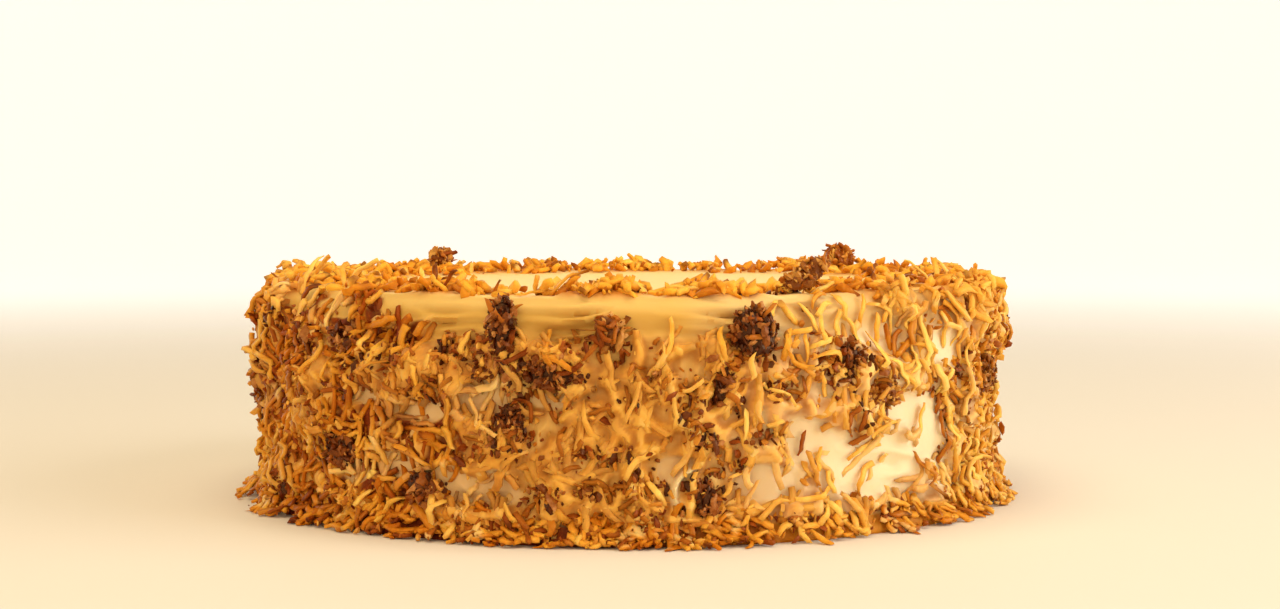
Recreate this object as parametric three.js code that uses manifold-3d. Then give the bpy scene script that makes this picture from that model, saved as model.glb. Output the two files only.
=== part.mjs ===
// A frosted carrot cake, uncut: a round cake under smoothed cream frosting, its side coated in toasted
// coconut shreds, with a band of shreds round the edge of the top, a bank of them round the foot, and
// crumbly nut and coconut clusters pressed in here and there.
// Millimetres, +Z up. The origin is the centre of the underside, and the front of the cake faces -Y.
// An angle is measured in degrees from the front, and grows towards +X.

import * as THREE from "three";
import { mergeVertices } from "three/addons/utils/BufferGeometryUtils.js";
import Module from "manifold-3d";

const wasm = await Module();
wasm.setup();

// ---- driving dimensions ----

const wallRadius = 99.2; // frosted side, before the coconut
const cakeHeight = 58; // smooth frosting in the middle of the top
const rimRounding = 5.5; // radius of the knifed edge between side and top
const bandInner = 77; // coconut band on the top, from here ...
const bandOuter = 94.5; // ... to here
const bandThickness = 2; // shreds that lie under the ones that show
const bandLip = 3; // how far the band thins out at either edge
const bankReach = 5.2; // how far the bank at the foot stands out from the side
const bankHeight = 6.5; // where the bank runs out up the side
const bankEdge = 1.2; // height of the bank's blunt outer edge
const coatThickness = 1.5; // shreds that lie under the ones that show, on the side
const wallBelly = 0.8; // how far the side bulges half way up
const knifeWave = 0.4; // how far the smoothed side wanders in and out
const topWave = 0.3; // the same for the top
const pieceGap = 0.3; // clearance between a cluster and the frosting behind it

const segments = 90; // flats round the cake
const wallRows = 8;
const rimRows = 3;

const shredWidth = 1.9;
const shredThickness = 1;
const shredTaper = 0.35; // share of its width that a shred loses towards each end

// The shreds that stand out, by where they lie. "raised" is how far one lies off the coat, "tip" how many
// degrees it leans, "bow" how far its middle stands off its ends, and "curl" how far it curves sideways.
const onWall = { count: 99, seed: 11, length: [9, 17], raised: [0.3, 1], tip: 8, bow: [0.3, 1.2], curl: [-2, 2] };
const onBand = { count: 40, seed: 23, length: [9, 14], raised: [0.5, 1.1], tip: 15, bow: [0.2, 1], curl: [-2, 2] };
const onBank = { count: 30, seed: 31, length: [9, 15], bow: [0, 0.6], curl: [-2.5, 0] };

// Bare frosting on the side: the angle and height of each patch's middle, and half its width and height.
const barePatches = [
  { angle: 36, height: 15, halfAngle: 11, halfHeight: 9 },
  { angle: 19, height: 16, halfAngle: 6, halfHeight: 6 },
  { angle: -20, height: 34, halfAngle: 6, halfHeight: 6 },
  { angle: -21, height: 12, halfAngle: 6, halfHeight: 4 },
  { angle: 49, height: 44, halfAngle: 6, halfHeight: 6 },
  { angle: 128, height: 30, halfAngle: 10, halfHeight: 9 },
  { angle: 196, height: 20, halfAngle: 9, halfHeight: 8 },
  { angle: 262, height: 38, halfAngle: 8, halfHeight: 7 },
];
const bareRim = { from: -29, to: 24, lowest: 49 }; // knifed edge that no coconut covers
const bareRimBack = { from: 150, to: 176, lowest: 50 };

const largeCluster = 110; // width times height above which a cluster gets more facets
const craggy = [0.78, 1.08]; // how far a cluster's points wander from a smooth lump

// Clusters: where each sits, the height of its middle, and its width, height and thickness. "on" is the
// side, or the radius that it stands at on the top. "roll" turns it in the plane that it lies in, and "tip"
// lowers its right end.
const clusters = [
  { name: "rim_left", angle: -17, on: "side", height: 51, size: [7, 17, 7], roll: 4 },
  { name: "shoulder_left", angle: -10.5, on: "side", height: 41, size: [19, 8, 6], roll: -8 },
  { name: "waist_left", angle: -15.5, on: "side", height: 27, size: [7.5, 13, 5], roll: 10 },
  { name: "left_low", angle: -45, on: "side", height: 19, size: [13, 9, 5], roll: 0 },
  { name: "foot_left", angle: -29, on: "side", height: 12, size: [7.5, 9.5, 5], roll: 15 },
  { name: "left_high", angle: -44, on: "side", height: 47, size: [12, 7, 5], roll: -20 },
  { name: "centre_star", angle: -2.5, on: "side", height: 50, size: [8.5, 8.5, 5], roll: 30 },
  { name: "centre_foot", angle: 10, on: "side", height: 11.5, size: [8, 9, 6], roll: 0 },
  { name: "centre_mid", angle: 9.5, on: "side", height: 25.5, size: [7.5, 7, 4.5], roll: 0 },
  { name: "right_slant", angle: 13, on: "side", height: 37.5, size: [7, 13, 5], roll: -22 },
  { name: "right_large", angle: 17, on: "side", height: 50, size: [12, 13, 8], roll: 12 },
  { name: "right_dark", angle: 31.5, on: "side", height: 42, size: [8, 11, 7], roll: 0 },
  { name: "right_brown", angle: 37, on: "side", height: 33.5, size: [13, 7.5, 6], roll: 0 },
  { name: "right_far", angle: 69, on: "side", height: 35, size: [9, 9, 5], roll: 0 },
  { name: "right_edge", angle: 84, on: "side", height: 45, size: [12, 10, 7], roll: 15 },
  { name: "rim_bar", angle: 27.5, on: 91, height: 62, size: [15.5, 5, 5.5], roll: -15, tip: -35 },
  { name: "top_back_left", angle: 224, on: 86, height: 62, size: [8, 8, 9], roll: 0, tip: 0 },
  { name: "top_back_right", angle: 132, on: 87, height: 62, size: [10.5, 8, 10], roll: 10, tip: 0 },
  { name: "back_one", angle: 112, on: "side", height: 26, size: [11, 9, 6], roll: 10 },
  { name: "back_two", angle: 142, on: "side", height: 46, size: [9, 11, 6], roll: -10 },
  { name: "back_three", angle: 171, on: "side", height: 31, size: [12, 8, 6], roll: 20 },
  { name: "back_four", angle: 205, on: "side", height: 44, size: [10, 10, 7], roll: 0 },
  { name: "back_five", angle: 234, on: "side", height: 22, size: [9, 12, 6], roll: -14 },
  { name: "back_six", angle: 279, on: "side", height: 28, size: [11, 8, 6], roll: 8 },
];

// ---- shared helpers ----

const rad = THREE.MathUtils.degToRad;
const up = new THREE.Vector3(0, 0, 1);

// A seeded source of numbers from 0 to 1, so that every build is the same.
function randomFrom(seed) {
  let state = seed;
  return () => {
    state = (state + 0x6d2b79f5) | 0;
    let t = Math.imul(state ^ (state >>> 15), 1 | state);
    t = (t + Math.imul(t ^ (t >>> 7), 61 | t)) ^ t;
    return ((t ^ (t >>> 14)) >>> 0) / 2 ** 32;
  };
}

const between = (random, [low, high]) => low + (high - low) * random();

const outward = (angle) => new THREE.Vector3(Math.sin(rad(angle)), -Math.cos(rad(angle)), 0);

// How far apart two angles are, the short way round.
const apart = (a, b) => Math.abs(((a - b + 540) % 360) - 180);

// A soft unevenness from -1 to 1 that closes on itself round the cake.
function uneven(angle, height, seed) {
  const a = rad(angle);
  const wave = (cycles, lean, shift) => Math.sin(cycles * a + lean * height + shift * seed);
  return (wave(3, 0.05, 1) + wave(7, -0.09, 2.1) + wave(13, 0.31, 3.3) + wave(23, -0.47, 5.7)) / 4;
}

// A rough unevenness from -1 to 1 that differs from each point to the next.
function rough(angle, height) {
  const scrambled = Math.sin(angle * 12.99 + height * 78.23) * 43758.55;
  return 2 * (scrambled - Math.floor(scrambled)) - 1;
}

// The geometry with one vertex where its faces meet.
function mergedOf(geometry) {
  geometry.deleteAttribute("normal");
  geometry.deleteAttribute("uv");
  return mergeVertices(geometry, 1e-4);
}

// A closed geometry whose vertices are merged, as a manifold-3d solid.
function solidOf(merged) {
  const vertProperties = merged.attributes.position.array;
  const triVerts = new Uint32Array(merged.index.array);
  return new wasm.Manifold(new wasm.Mesh({ numProp: 3, vertProperties, triVerts }));
}

// A manifold-3d solid as a three.js geometry.
function geometryOf(solid) {
  const mesh = solid.getMesh();
  const geometry = new THREE.BufferGeometry();
  geometry.setAttribute("position", new THREE.BufferAttribute(mesh.vertProperties, 3));
  geometry.setIndex(new THREE.BufferAttribute(mesh.triVerts, 1));
  geometry.computeVertexNormals();
  return geometry;
}

const largest = (solid) => solid.decompose().sort((a, b) => b.volume() - a.volume())[0];

// ---- frosting and the coconut packed on it ----

const inRim = (rim, angle, height) =>
  apart(angle, (rim.from + rim.to) / 2) < (rim.to - rim.from) / 2 && height > rim.lowest;

// 1 where coconut covers the side, falling to 0 on bare frosting.
function coverage(angle, height) {
  if (inRim(bareRim, angle, height) || inRim(bareRimBack, angle, height)) return 0;
  const depths = barePatches.map((patch) =>
    Math.hypot(apart(angle, patch.angle) / patch.halfAngle, (height - patch.height) / patch.halfHeight),
  );
  return THREE.MathUtils.smoothstep(Math.min(...depths), 0.7, 1.2);
}

// The outline from the middle of the underside, up the side, to the middle of the top.
function coreProfile() {
  const wall = [];
  for (let row = 0; row <= wallRows; row++) {
    const share = row / wallRows;
    const height = THREE.MathUtils.lerp(bankHeight, cakeHeight - rimRounding, share);
    wall.push(new THREE.Vector2(wallRadius + wallBelly * Math.sin(Math.PI * share), height));
  }
  const rim = [];
  for (let row = 1; row <= rimRows; row++) {
    const turn = (row / rimRows) * (Math.PI / 2);
    const r = wallRadius - rimRounding + rimRounding * Math.cos(turn);
    rim.push(new THREE.Vector2(r, cakeHeight - rimRounding + rimRounding * Math.sin(turn)));
  }
  const bandTop = cakeHeight + bandThickness;
  return [
    new THREE.Vector2(0, 0),
    new THREE.Vector2(wallRadius + bankReach, 0),
    new THREE.Vector2(wallRadius + bankReach, bankEdge),
    new THREE.Vector2(wallRadius + bankReach / 2, bankHeight / 2),
    ...wall,
    ...rim,
    new THREE.Vector2(bandOuter - bandLip, bandTop),
    new THREE.Vector2((bandInner + bandOuter) / 2, bandTop),
    new THREE.Vector2(bandInner + bandLip, bandTop),
    new THREE.Vector2(bandInner, cakeHeight),
    new THREE.Vector2(0, cakeHeight),
  ];
}

// The cake turned from its outline, with its surface moved out by "proud" and made uneven.
function coreGeometry(proud) {
  const geometry = mergedOf(new THREE.LatheGeometry(coreProfile(), segments).rotateX(Math.PI / 2));
  const place = geometry.attributes.position;
  const p = new THREE.Vector3();
  for (let i = 0; i < place.count; i++) {
    p.fromBufferAttribute(place, i);
    const radius = Math.hypot(p.x, p.y);
    if (radius < 1) {
      p.z += p.z > 0 ? proud : -proud;
    } else {
      const angle = THREE.MathUtils.radToDeg(Math.atan2(p.x, -p.y));
      p.add(unevenStep(angle, radius, p.z, proud));
    }
    place.setXYZ(i, p.x, p.y, p.z);
  }
  return geometry;
}

// How far the surface at one place stands out of the plain outline: at the foot, on the top, on the band,
// and last on the side and the rounded edge, where it moves along their slope.
function unevenStep(angle, radius, height, proud) {
  if (height < 0.01) return outward(angle).multiplyScalar(bankWave(angle) + proud).setZ(-proud);
  if (height < bankHeight - 0.5) return outward(angle).multiplyScalar(bankWave(angle) + proud);
  if (radius < bandInner + 1) return new THREE.Vector3(0, 0, topWave * uneven(angle, radius, 1) + proud);
  if (height > cakeHeight + 0.5) return new THREE.Vector3(0, 0, bandWave(angle, radius) + proud);
  const slope = THREE.MathUtils.clamp(1 - (cakeHeight - height) / rimRounding, 0, 1);
  const normal = outward(angle).multiplyScalar(1 - slope).setZ(slope).normalize();
  const packed = 1 + 0.4 * uneven(angle, height, 3) + 0.5 * rough(angle, height);
  const coat = coatThickness * packed * coverage(angle, height);
  return normal.multiplyScalar(coat + knifeWave * uneven(angle, height, 6) + proud);
}

const bankWave = (angle) => 1.2 * uneven(angle, 0, 4) + 0.7 * rough(angle, 0);
const bandWave = (angle, radius) => 0.6 * uneven(angle, 4 * radius, 2) + 0.7 * rough(angle, radius);

// ---- coconut ----

// The frame of a thing that lies at a point with its Z along "normal". At a spin of 0 degrees its X runs
// round the cake, and "tip" lifts one end.
function frameAt(point, normal, spin, tip) {
  const around = new THREE.Vector3().crossVectors(up, point).normalize();
  const across = new THREE.Vector3().crossVectors(normal, around);
  const frame = new THREE.Matrix4().makeBasis(around, across, normal);
  frame.multiply(new THREE.Matrix4().makeRotationZ(rad(spin)));
  frame.multiply(new THREE.Matrix4().makeRotationY(rad(tip)));
  return frame.setPosition(point);
}

function clusterFrame(cluster) {
  if (cluster.on !== "side") {
    const point = outward(cluster.angle).multiplyScalar(cluster.on);
    return frameAt(point.setZ(cluster.height), up, cluster.roll, cluster.tip);
  }
  const point = outward(cluster.angle).multiplyScalar(wallRadius + coatThickness + cluster.size[2] / 10);
  return frameAt(point.setZ(cluster.height), outward(cluster.angle), cluster.roll, 0);
}

// True where a point is in a cluster, or so near that half a shred would touch it.
function meetsCluster(point) {
  return clusters.some((cluster) => {
    const inside = point.clone().applyMatrix4(clusterFrame(cluster).invert());
    const half = new THREE.Vector3(...cluster.size).multiplyScalar(craggy[1] / 2);
    return inside.divide(half.addScalar(0.7 * shredWidth)).length() < 1;
  });
}

// One shred: a flat strip, bowed away from what it lies on, curved to one side and narrower at its ends.
// Null where it would run into a cluster.
function shredSolid(frame, length, kind, random) {
  const bow = between(random, kind.bow);
  const curl = between(random, kind.curl);
  const bend = (share) => new THREE.Vector3((share * length) / 2, curl * share ** 2, bow * (1 - share ** 2));
  for (let share = -1; share <= 1; share += 0.25) {
    if (meetsCluster(bend(share).applyMatrix4(frame))) return null;
  }
  const geometry = mergedOf(new THREE.BoxGeometry(2, shredWidth, shredThickness, 2, 1, 1));
  const place = geometry.attributes.position;
  for (let i = 0; i < place.count; i++) {
    const share = place.getX(i);
    const middle = bend(share);
    const y = middle.y + place.getY(i) * (1 - shredTaper * share ** 2);
    place.setXYZ(i, middle.x, y, middle.z + place.getZ(i));
  }
  return solidOf(geometry.applyMatrix4(frame));
}

const goldenTurn = 137.508; // degrees from one shred to the next, which spreads them evenly

// Asks "make" for shreds of one kind at ever new angles until it has given enough of them.
function scatter(kind, make) {
  const random = randomFrom(kind.seed);
  const made = [];
  for (let i = 0; made.length < kind.count; i++) {
    const shred = make((i * goldenTurn) % 360, kind, random);
    if (shred) made.push(shred);
  }
  return made;
}

// A shred lying on the side, if coconut covers it there and it stays clear of the foot and the top.
function wallShred(angle, kind, random) {
  const height = between(random, [bankHeight, cakeHeight - 3]);
  const length = between(random, kind.length);
  const spin = between(random, [0, 180]);
  const tall = (length / 2) * Math.sin(rad(spin));
  if (coverage(angle, height) < 0.6 || height + tall > cakeHeight + 2 || height < tall + 2) return null;
  const radius = wallRadius + coatThickness + between(random, kind.raised);
  const point = outward(angle).multiplyScalar(radius).setZ(height);
  const frame = frameAt(point, outward(angle), spin, between(random, [-kind.tip, kind.tip]));
  return shredSolid(frame, length, kind, random);
}

// A shred lying or leaning in the band on the top.
function bandShred(angle, kind, random) {
  const point = outward(angle).multiplyScalar(between(random, [bandInner + 1, bandOuter - 1]));
  point.setZ(cakeHeight + bandThickness + between(random, kind.raised));
  const frame = frameAt(point, up, between(random, [0, 180]), between(random, [-kind.tip, kind.tip]));
  return shredSolid(frame, between(random, kind.length), kind, random);
}

// A shred spilled at the foot, lying on the slope of the bank, from high and near the side to low and far.
function bankShred(angle, kind, random) {
  const down = random();
  const point = outward(angle).multiplyScalar(wallRadius + bankReach * (0.35 + 0.65 * down));
  point.setZ(shredThickness + (bankHeight / 2) * (1 - down));
  const slope = outward(angle).multiplyScalar(bankHeight).setZ(bankReach + bankHeight * down).normalize();
  const frame = frameAt(point, slope, between(random, [-40, 40]), 0);
  return shredSolid(frame, between(random, kind.length), kind, random);
}

function frostedCake() {
  const shreds = [
    ...scatter(onWall, wallShred),
    ...scatter(onBand, bandShred),
    ...scatter(onBank, bankShred),
  ];
  const joined = wasm.Manifold.union([solidOf(coreGeometry(0)), ...shreds]);
  const standing = largest(joined.trimByPlane([0, 0, 1], 0));
  const material = new THREE.MeshStandardMaterial({ color: 0xe0a552, roughness: 0.7, flatShading: true });
  const mesh = new THREE.Mesh(geometryOf(standing), material);
  mesh.name = "frosted_cake";
  return mesh;
}

// ---- clusters ----

// A craggy lump with a back that follows the frosting.
function clusterMesh(cluster, index, clearance) {
  const [width, height, thickness] = cluster.size;
  const random = randomFrom(100 + index);
  const detail = width * height > largeCluster ? 2 : 1;
  const lump = mergedOf(new THREE.IcosahedronGeometry(1, detail));
  const place = lump.attributes.position;
  for (let i = 0; i < place.count; i++) {
    const bump = between(random, craggy);
    place.setXYZ(i, place.getX(i) * bump, place.getY(i) * bump, place.getZ(i) * bump);
  }
  lump.scale(width / 2, height / 2, thickness / 2).applyMatrix4(clusterFrame(cluster));
  const material = new THREE.MeshStandardMaterial({ color: 0x8a4f2a, roughness: 0.6, flatShading: true });
  const mesh = new THREE.Mesh(geometryOf(largest(solidOf(lump).subtract(clearance))), material);
  mesh.name = "cluster_" + cluster.name;
  return mesh;
}

// ---- the whole cake ----

const cake = new THREE.Group();
cake.add(frostedCake());
const clearance = solidOf(coreGeometry(pieceGap));
clusters.forEach((cluster, index) => cake.add(clusterMesh(cluster, index, clearance)));

export default cake;
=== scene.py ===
import math

import bmesh
import bpy
import numpy as np
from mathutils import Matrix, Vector, kdtree, noise


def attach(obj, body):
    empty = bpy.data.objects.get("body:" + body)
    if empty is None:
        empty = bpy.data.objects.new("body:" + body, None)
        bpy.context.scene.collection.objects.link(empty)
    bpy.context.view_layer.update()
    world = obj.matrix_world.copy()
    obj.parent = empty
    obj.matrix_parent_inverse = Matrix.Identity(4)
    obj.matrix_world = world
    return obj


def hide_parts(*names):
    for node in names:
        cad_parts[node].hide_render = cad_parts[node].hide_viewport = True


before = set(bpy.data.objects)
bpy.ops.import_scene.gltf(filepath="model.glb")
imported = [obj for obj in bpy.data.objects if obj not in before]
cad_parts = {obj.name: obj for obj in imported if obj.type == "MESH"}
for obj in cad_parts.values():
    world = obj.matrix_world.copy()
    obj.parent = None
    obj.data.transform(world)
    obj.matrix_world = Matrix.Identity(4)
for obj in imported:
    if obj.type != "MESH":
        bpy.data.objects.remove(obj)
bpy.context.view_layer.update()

mm = 0.001  # most sizes below are in millimetres and become metres through this
print("frame loaded:", len(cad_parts), "solids")


# Wraps one output socket, so that sums on Wires add the nodes that work them out.
class Wire:
    def __init__(self, board, socket):
        self.board = board
        self.socket = socket

    def join(self, operation, other=None, flip=False):
        pair = [self] if other is None else [self, other]
        if flip:
            pair.reverse()
        kind = "ShaderNodeMath"
        if any(isVector(each) for each in pair):
            kind = "ShaderNodeVectorMath"
            pair = [(each,) * 3 if isinstance(each, (int, float)) else each for each in pair]
        return self.board.node(kind, {"operation": operation}, dict(enumerate(pair)))

    def __add__(self, other):
        return self.join("ADD", other)

    def __sub__(self, other):
        return self.join("SUBTRACT", other)

    def __rsub__(self, other):
        return self.join("SUBTRACT", other, True)

    def __mul__(self, other):
        return self.join("MULTIPLY", other)

    def __truediv__(self, other):
        return self.join("DIVIDE", other)

    def __pow__(self, other):
        return self.join("POWER", other)

    __radd__ = __add__
    __rmul__ = __mul__

    def least(self, other):
        return self.join("MINIMUM", other)

    def most(self, other):
        return self.join("MAXIMUM", other)

    def size(self):
        return self.join("ABSOLUTE")

    def sign(self):
        return self.join("SIGN")

    def sine(self):
        return self.join("SINE")

    def cosine(self):
        return self.join("COSINE")

    # One of the node's other outputs.
    def also(self, name):
        return Wire(self.board, self.socket.node.outputs[name])

    def part(self, axis):
        return self.board.node("ShaderNodeSeparateXYZ", {}, {0: self}, axis)

    def unit(self):
        return self.board.node("ShaderNodeVectorMath", {"operation": "NORMALIZE"}, {0: self})

    def dot(self, other):
        return self.board.node("ShaderNodeVectorMath", {"operation": "DOT_PRODUCT"}, {0: self, 1: other}, 1)

    def cross(self, other):
        return self.board.node("ShaderNodeVectorMath", {"operation": "CROSS_PRODUCT"}, {0: self, 1: other})

    # 0 where this is at "low", 1 at "high", held and eased in between; low may be the larger.
    def ramp(self, low, high):
        if low > high:
            return 1 - self.ramp(high, low)
        settings = {"interpolation_type": "SMOOTHSTEP"}
        return self.board.node("ShaderNodeMapRange", settings, {0: self, 1: low, 2: high, 3: 0.0, 4: 1.0})


def isVector(value):
    if isinstance(value, Wire):
        return value.socket.type == "VECTOR"
    return isinstance(value, (tuple, Vector))


# A node tree under construction, for a material or for Geometry Nodes.
class Board:
    def __init__(self, tree):
        self.tree = tree
        self.draws = 0

    # The node's type, its settings, then its sockets by number or identifier; gives the output asked for.
    def node(self, kind, settings=None, sockets=None, output=0):
        made = self.tree.nodes.new(kind)
        for name, value in (settings or {}).items():
            setattr(made, name, value)
        for name, value in (sockets or {}).items():
            self.feed(socketOf(made.inputs, name), value)
        return Wire(self, made.outputs[output])

    def feed(self, socket, value):
        if isinstance(value, Wire):
            self.tree.links.new(value.socket, socket)
        elif socket.type == "RGBA" and len(value) == 3:
            socket.default_value = (*value, 1.0)
        else:
            socket.default_value = value

    def vector(self, x, y, z):
        return self.node("ShaderNodeCombineXYZ", {}, {0: x, 1: y, 2: z})

    def noise(self, place, scale, detail=2.0, roughness=0.5):
        sockets = {"Vector": place, "Scale": scale, "Detail": detail, "Roughness": roughness}
        return self.node("ShaderNodeTexNoise", {}, sockets)

    # Two colours mixed by a share of the second.
    def blend(self, share, first, second):
        settings = {"data_type": "RGBA", "clamp_factor": True}
        sockets = {"Factor_Float": share, "A_Color": first, "B_Color": second}
        return self.node("ShaderNodeMix", settings, sockets, 2)

    # A mesh's attribute as a material reads it; "stored" reads it in Geometry Nodes.
    def painted(self, name):
        return self.node("ShaderNodeAttribute", {"attribute_name": name}, {}, 2)

    def colours(self, value, stops):
        ramp = self.node("ShaderNodeValToRGB", {}, {0: value})
        elements = ramp.socket.node.color_ramp.elements
        while len(elements) < len(stops):
            elements.new(0.5)
        for element, (place, colour) in zip(elements, stops):
            element.position = place
            element.color = (*colour, 1.0)
        return ramp

    def position(self):
        return self.node("GeometryNodeInputPosition")

    def stored(self, name, kind="FLOAT"):
        return self.node("GeometryNodeInputNamedAttribute", {"data_type": kind}, {"Name": name})

    def store(self, geometry, name, value):
        settings = {"data_type": "FLOAT_VECTOR" if isVector(value) else "FLOAT", "domain": "POINT"}
        sockets = {0: geometry, "Name": name, "Value": value}
        return self.node("GeometryNodeStoreNamedAttribute", settings, sockets)

    # Each call draws its own numbers, one for each point.
    def random(self, low, high, seed):
        self.draws += 1
        sockets = {"Min_001": low, "Max_001": high, "Seed": seed + self.draws}
        return self.node("FunctionNodeRandomValue", {"data_type": "FLOAT"}, sockets, 1)

    def move(self, geometry, position):
        return self.node("GeometryNodeSetPosition", {}, {0: geometry, "Position": position})

    # Moves points, but none lower than "floor".
    def moveAbove(self, geometry, position, floor):
        return self.move(geometry, position.join("MAXIMUM", self.vector(-farAway, -farAway, floor)))


def socketOf(inputs, name):
    if isinstance(name, int):
        return inputs[name]
    return next(each for each in inputs if each.identifier == name)


farAway = 9.0  # metres, more than any piece reaches
footGap = 0.2 * mm  # shreds and crumbs stay this far above the ground
socketKinds = {
    float: "NodeSocketFloat", int: "NodeSocketInt", str: "NodeSocketString",
    bpy.types.Object: "NodeSocketObject",
}
crispAngle = 100.0  # degrees between faces past which an edge stays crisp: shreds are round and soft
cutAngle = 40.0  # the same for chips and nuts
crumbAngle = 48.0  # the same for crumbs
# What surfaces carry for the pieces strewn on them, and no piece keeps.
layers = ("facing", "rim", "wall", "set", "loose", "crown", "dark", "curls", "webs", "sunk", "near",
          "all", "thread", "foot", "heel")


# Runs a Geometry Nodes tree on a mesh and gives the result as a plain piece. "rule" builds the tree's
# middle from its named inputs; "values" are the inputs, and the last nodes realize and finish the result.
def grow(name, host, rule, values, material, crisp=crispAngle, spent=layers):
    tree = bpy.data.node_groups.new(name, "GeometryNodeTree")
    panel = tree.interface
    panel.new_socket(name="Surface", in_out="INPUT", socket_type="NodeSocketGeometry")
    identifiers = {}
    for key, value in values.items():
        made = panel.new_socket(name=key, in_out="INPUT", socket_type=socketKinds[type(value)])
        identifiers[key] = made.identifier
    finish = panel.new_socket(name="Finish", in_out="INPUT", socket_type="NodeSocketMaterial")
    panel.new_socket(name="Piece", in_out="OUTPUT", socket_type="NodeSocketGeometry")
    board = Board(tree)
    entry = board.node("NodeGroupInput")
    grown = rule(board, entry, {key: entry.also(key) for key in values})
    real = board.node("GeometryNodeRealizeInstances", {}, {0: grown})
    coated = board.node("GeometryNodeSetMaterial", {}, {0: real, "Material": entry.also("Finish")})
    leave = tree.nodes.new("NodeGroupOutput")
    tree.links.new(coated.socket, leave.inputs[0])

    holder = bpy.data.objects.new(name + "Host", host)
    bpy.context.scene.collection.objects.link(holder)
    modifier = holder.modifiers.new(name, "NODES")
    modifier.node_group = tree
    for key, value in values.items():
        modifier[identifiers[key]] = value
    modifier[finish.identifier] = material
    graph = bpy.context.evaluated_depsgraph_get()
    mesh = bpy.data.meshes.new_from_object(
        holder.evaluated_get(graph), preserve_all_data_layers=True, depsgraph=graph
    )
    bpy.data.objects.remove(holder)
    mesh.name = name
    for extra in [each.name for each in mesh.attributes if each.name.startswith("tmp") or each.name in spent]:
        mesh.attributes.remove(mesh.attributes[extra])
    mesh.shade_smooth()
    mesh.set_sharp_from_angle(angle=math.radians(crisp))
    piece = bpy.data.objects.new(name, mesh)
    bpy.context.scene.collection.objects.link(piece)
    mesh.calc_loop_triangles()
    print("grown:", name, len(mesh.loop_triangles), "triangles")
    return piece


# The cake's outline in millimetres, shared by every piece.
cake = {
    "wallRadius": 99.2,
    "height": 58.0,
    "belly": 0.8,
    "rimRounding": 5.5,
    "bankHeight": 6.5,
}

# Bare frosting on the side: angle from the front in degrees, height, half width in degrees, half height.
barePatches = [
    (37, 16, 11, 9), (25, 24, 5, 6), (19, 14, 5, 5), (43, 30, 6, 5), (-20, 34, 4, 5), (-21, 12, 6, 4),
    (-11, 34, 3, 2), (6.5, 18, 2.8, 3.4), (52, 44, 5, 5), (35, 51, 6, 4), (128, 30, 10, 9),
    (196, 20, 9, 8), (262, 38, 8, 7), (96, 46, 5, 5), (160, 12, 6, 5), (232, 48, 6, 4),
    (-48, 55, 5, 3.5), (-60, 55.5, 5, 3), (-49.5, 45.5, 2, 2.5), (-39, 33.5, 2.5, 2.5), (-30, 31, 4, 3),
    (-34, 17.5, 4, 3.5), (-42, 14.5, 2.5, 4), (-26, 15.5, 4, 2.5), (-73, 55.5, 5, 3), (47, 24, 4.5, 8),
    (-62, 18, 2.5, 3), (51, 13, 3, 4), (57, 28, 2, 5),
]
# Bare stretches of the rim: from one angle to another, and the height above which they are bare.
bareRims = [(-39, -24, 52), (-29, 24, 48.5), (28.5, 38.5, 53.5), (150, 176, 50)]

# Lips of frosting pushed up beside a cluster: angle, height, radius, from and to (0 = right, 90 = up) and
# height of the lip.
lips = [
    (9.5, 12.5, 5.8, 80, 250, 3.2), (-19, 10, 7, 20, 120, 1.3), (30, 40, 6, 190, 300, 1.4),
    (21, 31, 5, 150, 260, 1.2),
]

# Ridges and grooves that the knife left: angle and height at each end, half width, rise (below 0 a groove).
knifeMarks = [
    (-38, 56.8, 46, 56.9, 0.8, 0.5), (-13, 55.2, 22, 55.0, 0.6, -1.1), (-13, 53.9, 25, 53.6, 0.8, 1.3),
    (-12, 51.2, 5, 50.9, 1.0, -1.3), (-36, 55.2, -17, 54.8, 0.7, -0.8),
    (-33, 53.9, -16, 53.6, 0.9, 1.2), (-27, 51.0, -16, 51.4, 0.8, 1.2),
    (-30, 52.6, -17, 52.4, 0.6, -0.9), (4, 51.6, 26, 51.8, 0.8, 0.9), (6, 49.8, 22, 50.0, 0.8, -0.7),
    (-10.5, 48.6, -4, 48.4, 1.0, -1.6), (27, 55.2, 46, 55.0, 0.7, -0.7), (27, 53.6, 44, 53.9, 0.8, 0.9),
    (-24, 12.5, -16, 9.5, 1.0, 0.9), (-24, 10.0, -17, 7.5, 0.8, -0.7), (30, 21.5, 46, 19.0, 1.3, 0.6),
    (28, 12.5, 44, 14.5, 1.2, 0.6), (33, 17.0, 42, 16.0, 0.9, -0.5),
]

# Brown crumbs between the shreds: angle, height, half width in degrees, half height.
crumbSpots = [
    (-1, 21.5, 4, 2.3), (8.5, 33, 1.6, 5), (3, 40, 1.8, 3.2), (-9.5, 33.5, 2.5, 2), (-0.7, 33, 2, 1.8),
    (-11.3, 12, 4, 3), (-5, 13.4, 1.8, 2), (-15, 35, 1.6, 3), (2, 15.7, 2.6, 3), (8, 36.5, 1.8, 1.6),
    (15, 19, 1.5, 1.5), (27.5, 41, 2.2, 3), (52, 35, 3, 4.5), (52, 28, 1.8, 5), (50.5, 17.5, 1.5, 4),
    (57.5, 17.5, 2.5, 2.5), (80, 36, 4, 5), (-68, 50, 5, 3), (-54, 48.5, 3, 2.5), (-58, 41, 3.5, 4),
    (-43, 38, 3.5, 3.5), (-23, 45, 3.5, 4), (-34, 44, 4, 3.5), (-28, 36, 3, 2.5), (-36, 12, 2.5, 3),
    (-58, 12, 3, 4), (-77, 33, 4, 4), (14, 44, 2, 2), (21, 36, 2.5, 2.5), (18, 25, 2, 2),
]

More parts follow.
